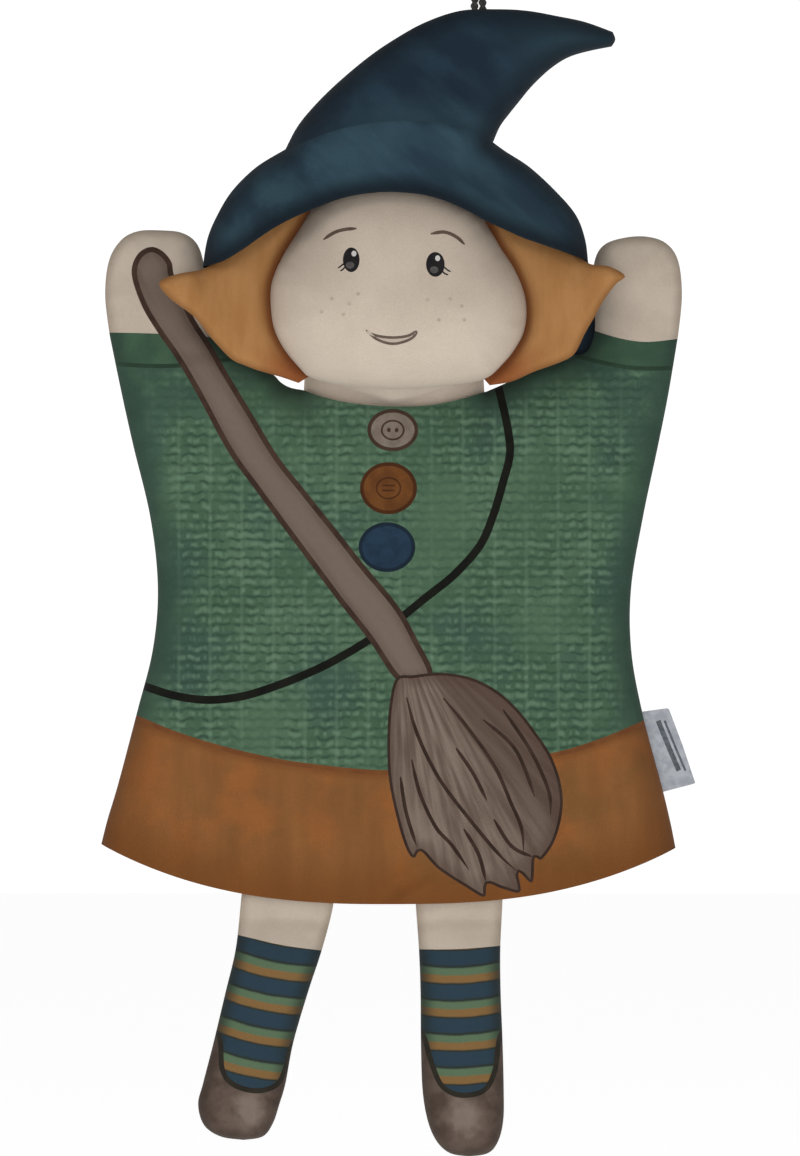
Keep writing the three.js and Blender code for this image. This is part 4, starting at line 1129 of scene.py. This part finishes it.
for index, (side, shape) in enumerate(LEGS.items()):
    leg_edge = join(smooth(shape["outer"], 0.95), smooth(shape["inner"], 0.95))
    top_line = resample([leg_edge[-1], leg_edge[0]], 1.0)
    sock, shoe, heel = (smooth(shape[key], 0.8) for key in ("sock", "shoe", "heel"))
    sock_area = np.vstack([sock, [(sock[-1][0], -BEYOND), (sock[0][0], -BEYOND)]])
    opening = np.vstack([shoe, [(shoe[-1][0], 10), (shoe[0][0], 10)]])
    shoe_ink = ribbon(shape["shoe"], 1.35, 0.8)
    heel_ink = ribbon(shape["heel"], 1.2, 0.8)
    heel_area = np.vstack([heel, [(heel[-1][0], -BEYOND), (heel[0][0], -BEYOND)]])
    leg = Flat(join(leg_edge, top_line), [leg_edge], 1.15,
               [(sock, False), (heel, False), (shoe_ink, True), (heel_ink, True)])
    x, z = leg.x, leg.z
    dx, dz = shape["down"]
    px, pz = x - shape["top"][0], z - shape["top"][1]
    cross = px * dz - pz * dx
    toe_x, toe_z = shape["toe"]
    leg.values["toe"] = np.hypot((x - toe_x) / TOE_PATCH[0], (z - toe_z) / TOE_PATCH[1])
    leg.values["down"] = px * dx + pz * dz - 0.8 * (1 - (cross / 10) ** 2) + SOCK_REPEAT
    depth = mix(SEAM_HALF, leg_fullness(z), bulge(leg.dist / 10))
    depth += 0.35 * rumple(x, z, 12, 101 + index) * ease(leg.dist / 6)
    depth += 0.5 * puckers(leg.dist, leg.along, 3.4, 4, 103 + index) * ease(leg.dist / 1)
    depth -= creases(x, z, ([(x.min(), -4.5), (x.mean(), -3.6), (x.max(), -4.5)], 1.4, 0.35))
    depth = np.maximum(depth, SEAM_HALF)
    middle = LEG_Y - 2.4 * ease((z + 6) / 9)
    paints = [leg.paint("skin", [("sock", sock_area), ("shoe", shoe_area), ("shoe_ink", line)])
              for shoe_area, line in (
                  (lambda u, v, hole=opening: ~within(hole, u, v) & (v < SHOE_TOP), shoe_ink),
                  (heel_area, heel_ink))]
    piece = solid(f"{side}_leg", leg, middle - depth, middle + depth, *paints, rim="skin_thread")
    bend(piece, ("torso", f"{side}_leg"), (0, 0, 0), (0, 0, -6), "leg_cloth",
         f"{side}_leg_front", f"{side}_leg_back", f"{side}_leg_stuffing")

# ---------------------------------------------------------------- label and hanging loop
LABEL = [(64.6, 49.7), (71.9, 50.7), (75.6, 41), (78.9, 31.1), (69.4, 28.6)]
label_outline = resample(LABEL, 0.7, True)
fold_edge = resample([(71.9, 50.7), (75.6, 41), (78.9, 31.1)], 0.7)
bars = [ribbon([(69.2 + shift, 47.4), (71.8 + shift, 41), (74.6 + shift, 34.4)], width, 0.6)
        for shift, width in ((0, 1.3), (1.7, 0.6))]
label = Flat(label_outline, [fold_edge], 0.9, [(bar, True) for bar in bars], rings=(0.25, 0.6))
middle = 0.9 * np.sin((label.z - 28) / 7) * clamp((label.x - 68) / 8)
half = 0.12 + 0.33 * bulge(label.dist / 0.5)
label.values["seam"] = np.full(len(label.x), FAR_FROM_SEAM)
label_piece = solid("label_tape", label, middle - half, middle + half,
                    label.paint("label", [("label_ink", bar) for bar in bars]),
                    label.paint("label"), rim="label")
ride(label_piece, "label", "label_cloth", "side_label")

LOOP = [(21.4, 230.9), (21.4, 233), (21.4, 235), (20.2, 238.5), (18.7, 242.2), (19.8, 245.6),
        (22.4, 246.9), (25, 245.6), (26.1, 242.2), (24.6, 238.5), (23.5, 235), (23.5, 233),
        (23.5, 230.9)]
TWIST, STRAND_R, STRAND_OFF = 3.6, 0.64, 0.42   # one turn's length, radius, distance out
CORD_SIDES = 10


def twisted_cord(name, path, body_name):
    """Two strands wound round each other along a path in the XZ plane."""
    line = smooth(path, 0.35)
    along = np.concatenate([[0], np.cumsum(np.hypot(*np.diff(line, axis=0).T))])
    side = normals_of(line, closed=False)
    ring = np.linspace(0, 2 * math.pi, CORD_SIDES, endpoint=False)
    points, faces = [], []
    for strand in (0, math.pi):
        first = len(points)
        for (px, pz), (nx, nz), s in zip(line, side, along):
            a = strand + 2 * math.pi * s / TWIST
            cx, cy = STRAND_OFF * math.cos(a), STRAND_OFF * math.sin(a)
            for turn in ring:
                u, v = cx + STRAND_R * math.cos(turn), cy + STRAND_R * math.sin(turn)
                points.append((px + nx * u, HEAD_Y + v, pz + nz * u))
        last = len(points) - CORD_SIDES
        for row in range(first, last, CORD_SIDES):
            for i in range(CORD_SIDES):
                a, b = row + i, row + (i + 1) % CORD_SIDES
                faces.append((a, b, b + CORD_SIDES, a + CORD_SIDES))
        faces.append(tuple(reversed(range(first, first + CORD_SIDES))))
        faces.append(tuple(range(last, last + CORD_SIDES)))
    values = {"seam": np.full(len(points), FAR_FROM_SEAM)}
    piece = make_mesh(name, np.array(points), faces, None, ["cord"] * len(faces), values)
    ride(piece, body_name, "loop_cord", "hanging_loop")


twisted_cord("hanging_cord", LOOP, "loop")

# ---------------------------------------------------------------- floor, light and camera
FLOOR_Z = -0.12
BACKDROP_RADIUS = 8.0         # metres: round every camera, and nearer than its far clip
VIEW_HEIGHT = 0.3006          # metres across the picture's height, at the puppet
VIEW_CENTRE = (0.00208, 0.0845)
CAMERA_DISTANCE = 4.0
WORLD_LIGHT, FLOOR_GLOW, BACKDROP_GLOW = 0.41, 0.62, 1.05


def plain(name, colour, glow):
    material = bpy.data.materials.new(name)
    material.use_nodes = True
    shader = material.node_tree.nodes["Principled BSDF"]
    shader.inputs["Base Color"].default_value = (colour, colour, colour, 1)
    shader.inputs["Roughness"].default_value = 0.9
    shader.inputs["Emission Color"].default_value = (1, 1, 1, 1)
    shader.inputs["Emission Strength"].default_value = glow
    return material


def staged(name, points, faces, material):
    mesh = bpy.data.meshes.new(name)
    mesh.from_pydata(points, [], faces)
    mesh.materials.append(material)
    made = bpy.data.objects.new(name, mesh)
    bpy.context.scene.collection.objects.link(made)
    return made


staged("floor", [(-6, -6, FLOOR_Z), (6, -6, FLOOR_Z), (6, 6, FLOOR_Z), (-6, 6, FLOOR_Z)],
       [(0, 1, 2, 3)], plain("pale_floor", 0.85, FLOOR_GLOW))
ball = bmesh.new()
bmesh.ops.create_icosphere(ball, subdivisions=3, radius=BACKDROP_RADIUS)
ball.verts.index_update()
backdrop = staged("backdrop", [tuple(point.co) for point in ball.verts],
                  [[point.index for point in face.verts] for face in ball.faces],
                  plain("white_backdrop", 0, BACKDROP_GLOW))
ball.free()
for way in ("diffuse", "glossy", "transmission", "shadow"):
    setattr(backdrop, f"visible_{way}", False)

world = bpy.data.worlds.new("studio")
world.use_nodes = True
world.node_tree.nodes["Background"].inputs["Color"].default_value = (1, 1, 1, 1)
world.node_tree.nodes["Background"].inputs["Strength"].default_value = WORLD_LIGHT
bpy.context.scene.world = world


def area_light(name, place, target, size, power):
    data = bpy.data.lights.new(name, "AREA")
    data.shape, data.size, data.energy = "DISK", size, power
    lamp = bpy.data.objects.new(name, data)
    lamp.location = place
    lamp.rotation_euler = (Vector(target) - Vector(place)).to_track_quat("-Z", "Y").to_euler()
    bpy.context.scene.collection.objects.link(lamp)


area_light("key", (-0.8, -1.4, 1.0), (0, 0, 0.1), 0.8, 5.5)
area_light("front", (0.35, -1.8, 0.02), (0, 0, 0.12), 1.2, 12)

camera_data = bpy.data.cameras.new("camera")
camera_data.sensor_width = 36
camera_data.lens = 36 * CAMERA_DISTANCE / VIEW_HEIGHT
camera = bpy.data.objects.new("camera", camera_data)
camera.location = (VIEW_CENTRE[0], -CAMERA_DISTANCE, VIEW_CENTRE[1])
camera.rotation_euler = (math.radians(90), 0, 0)
bpy.context.scene.collection.objects.link(camera)
bpy.context.scene.camera = camera
bpy.context.scene.view_settings.view_transform = "Standard"
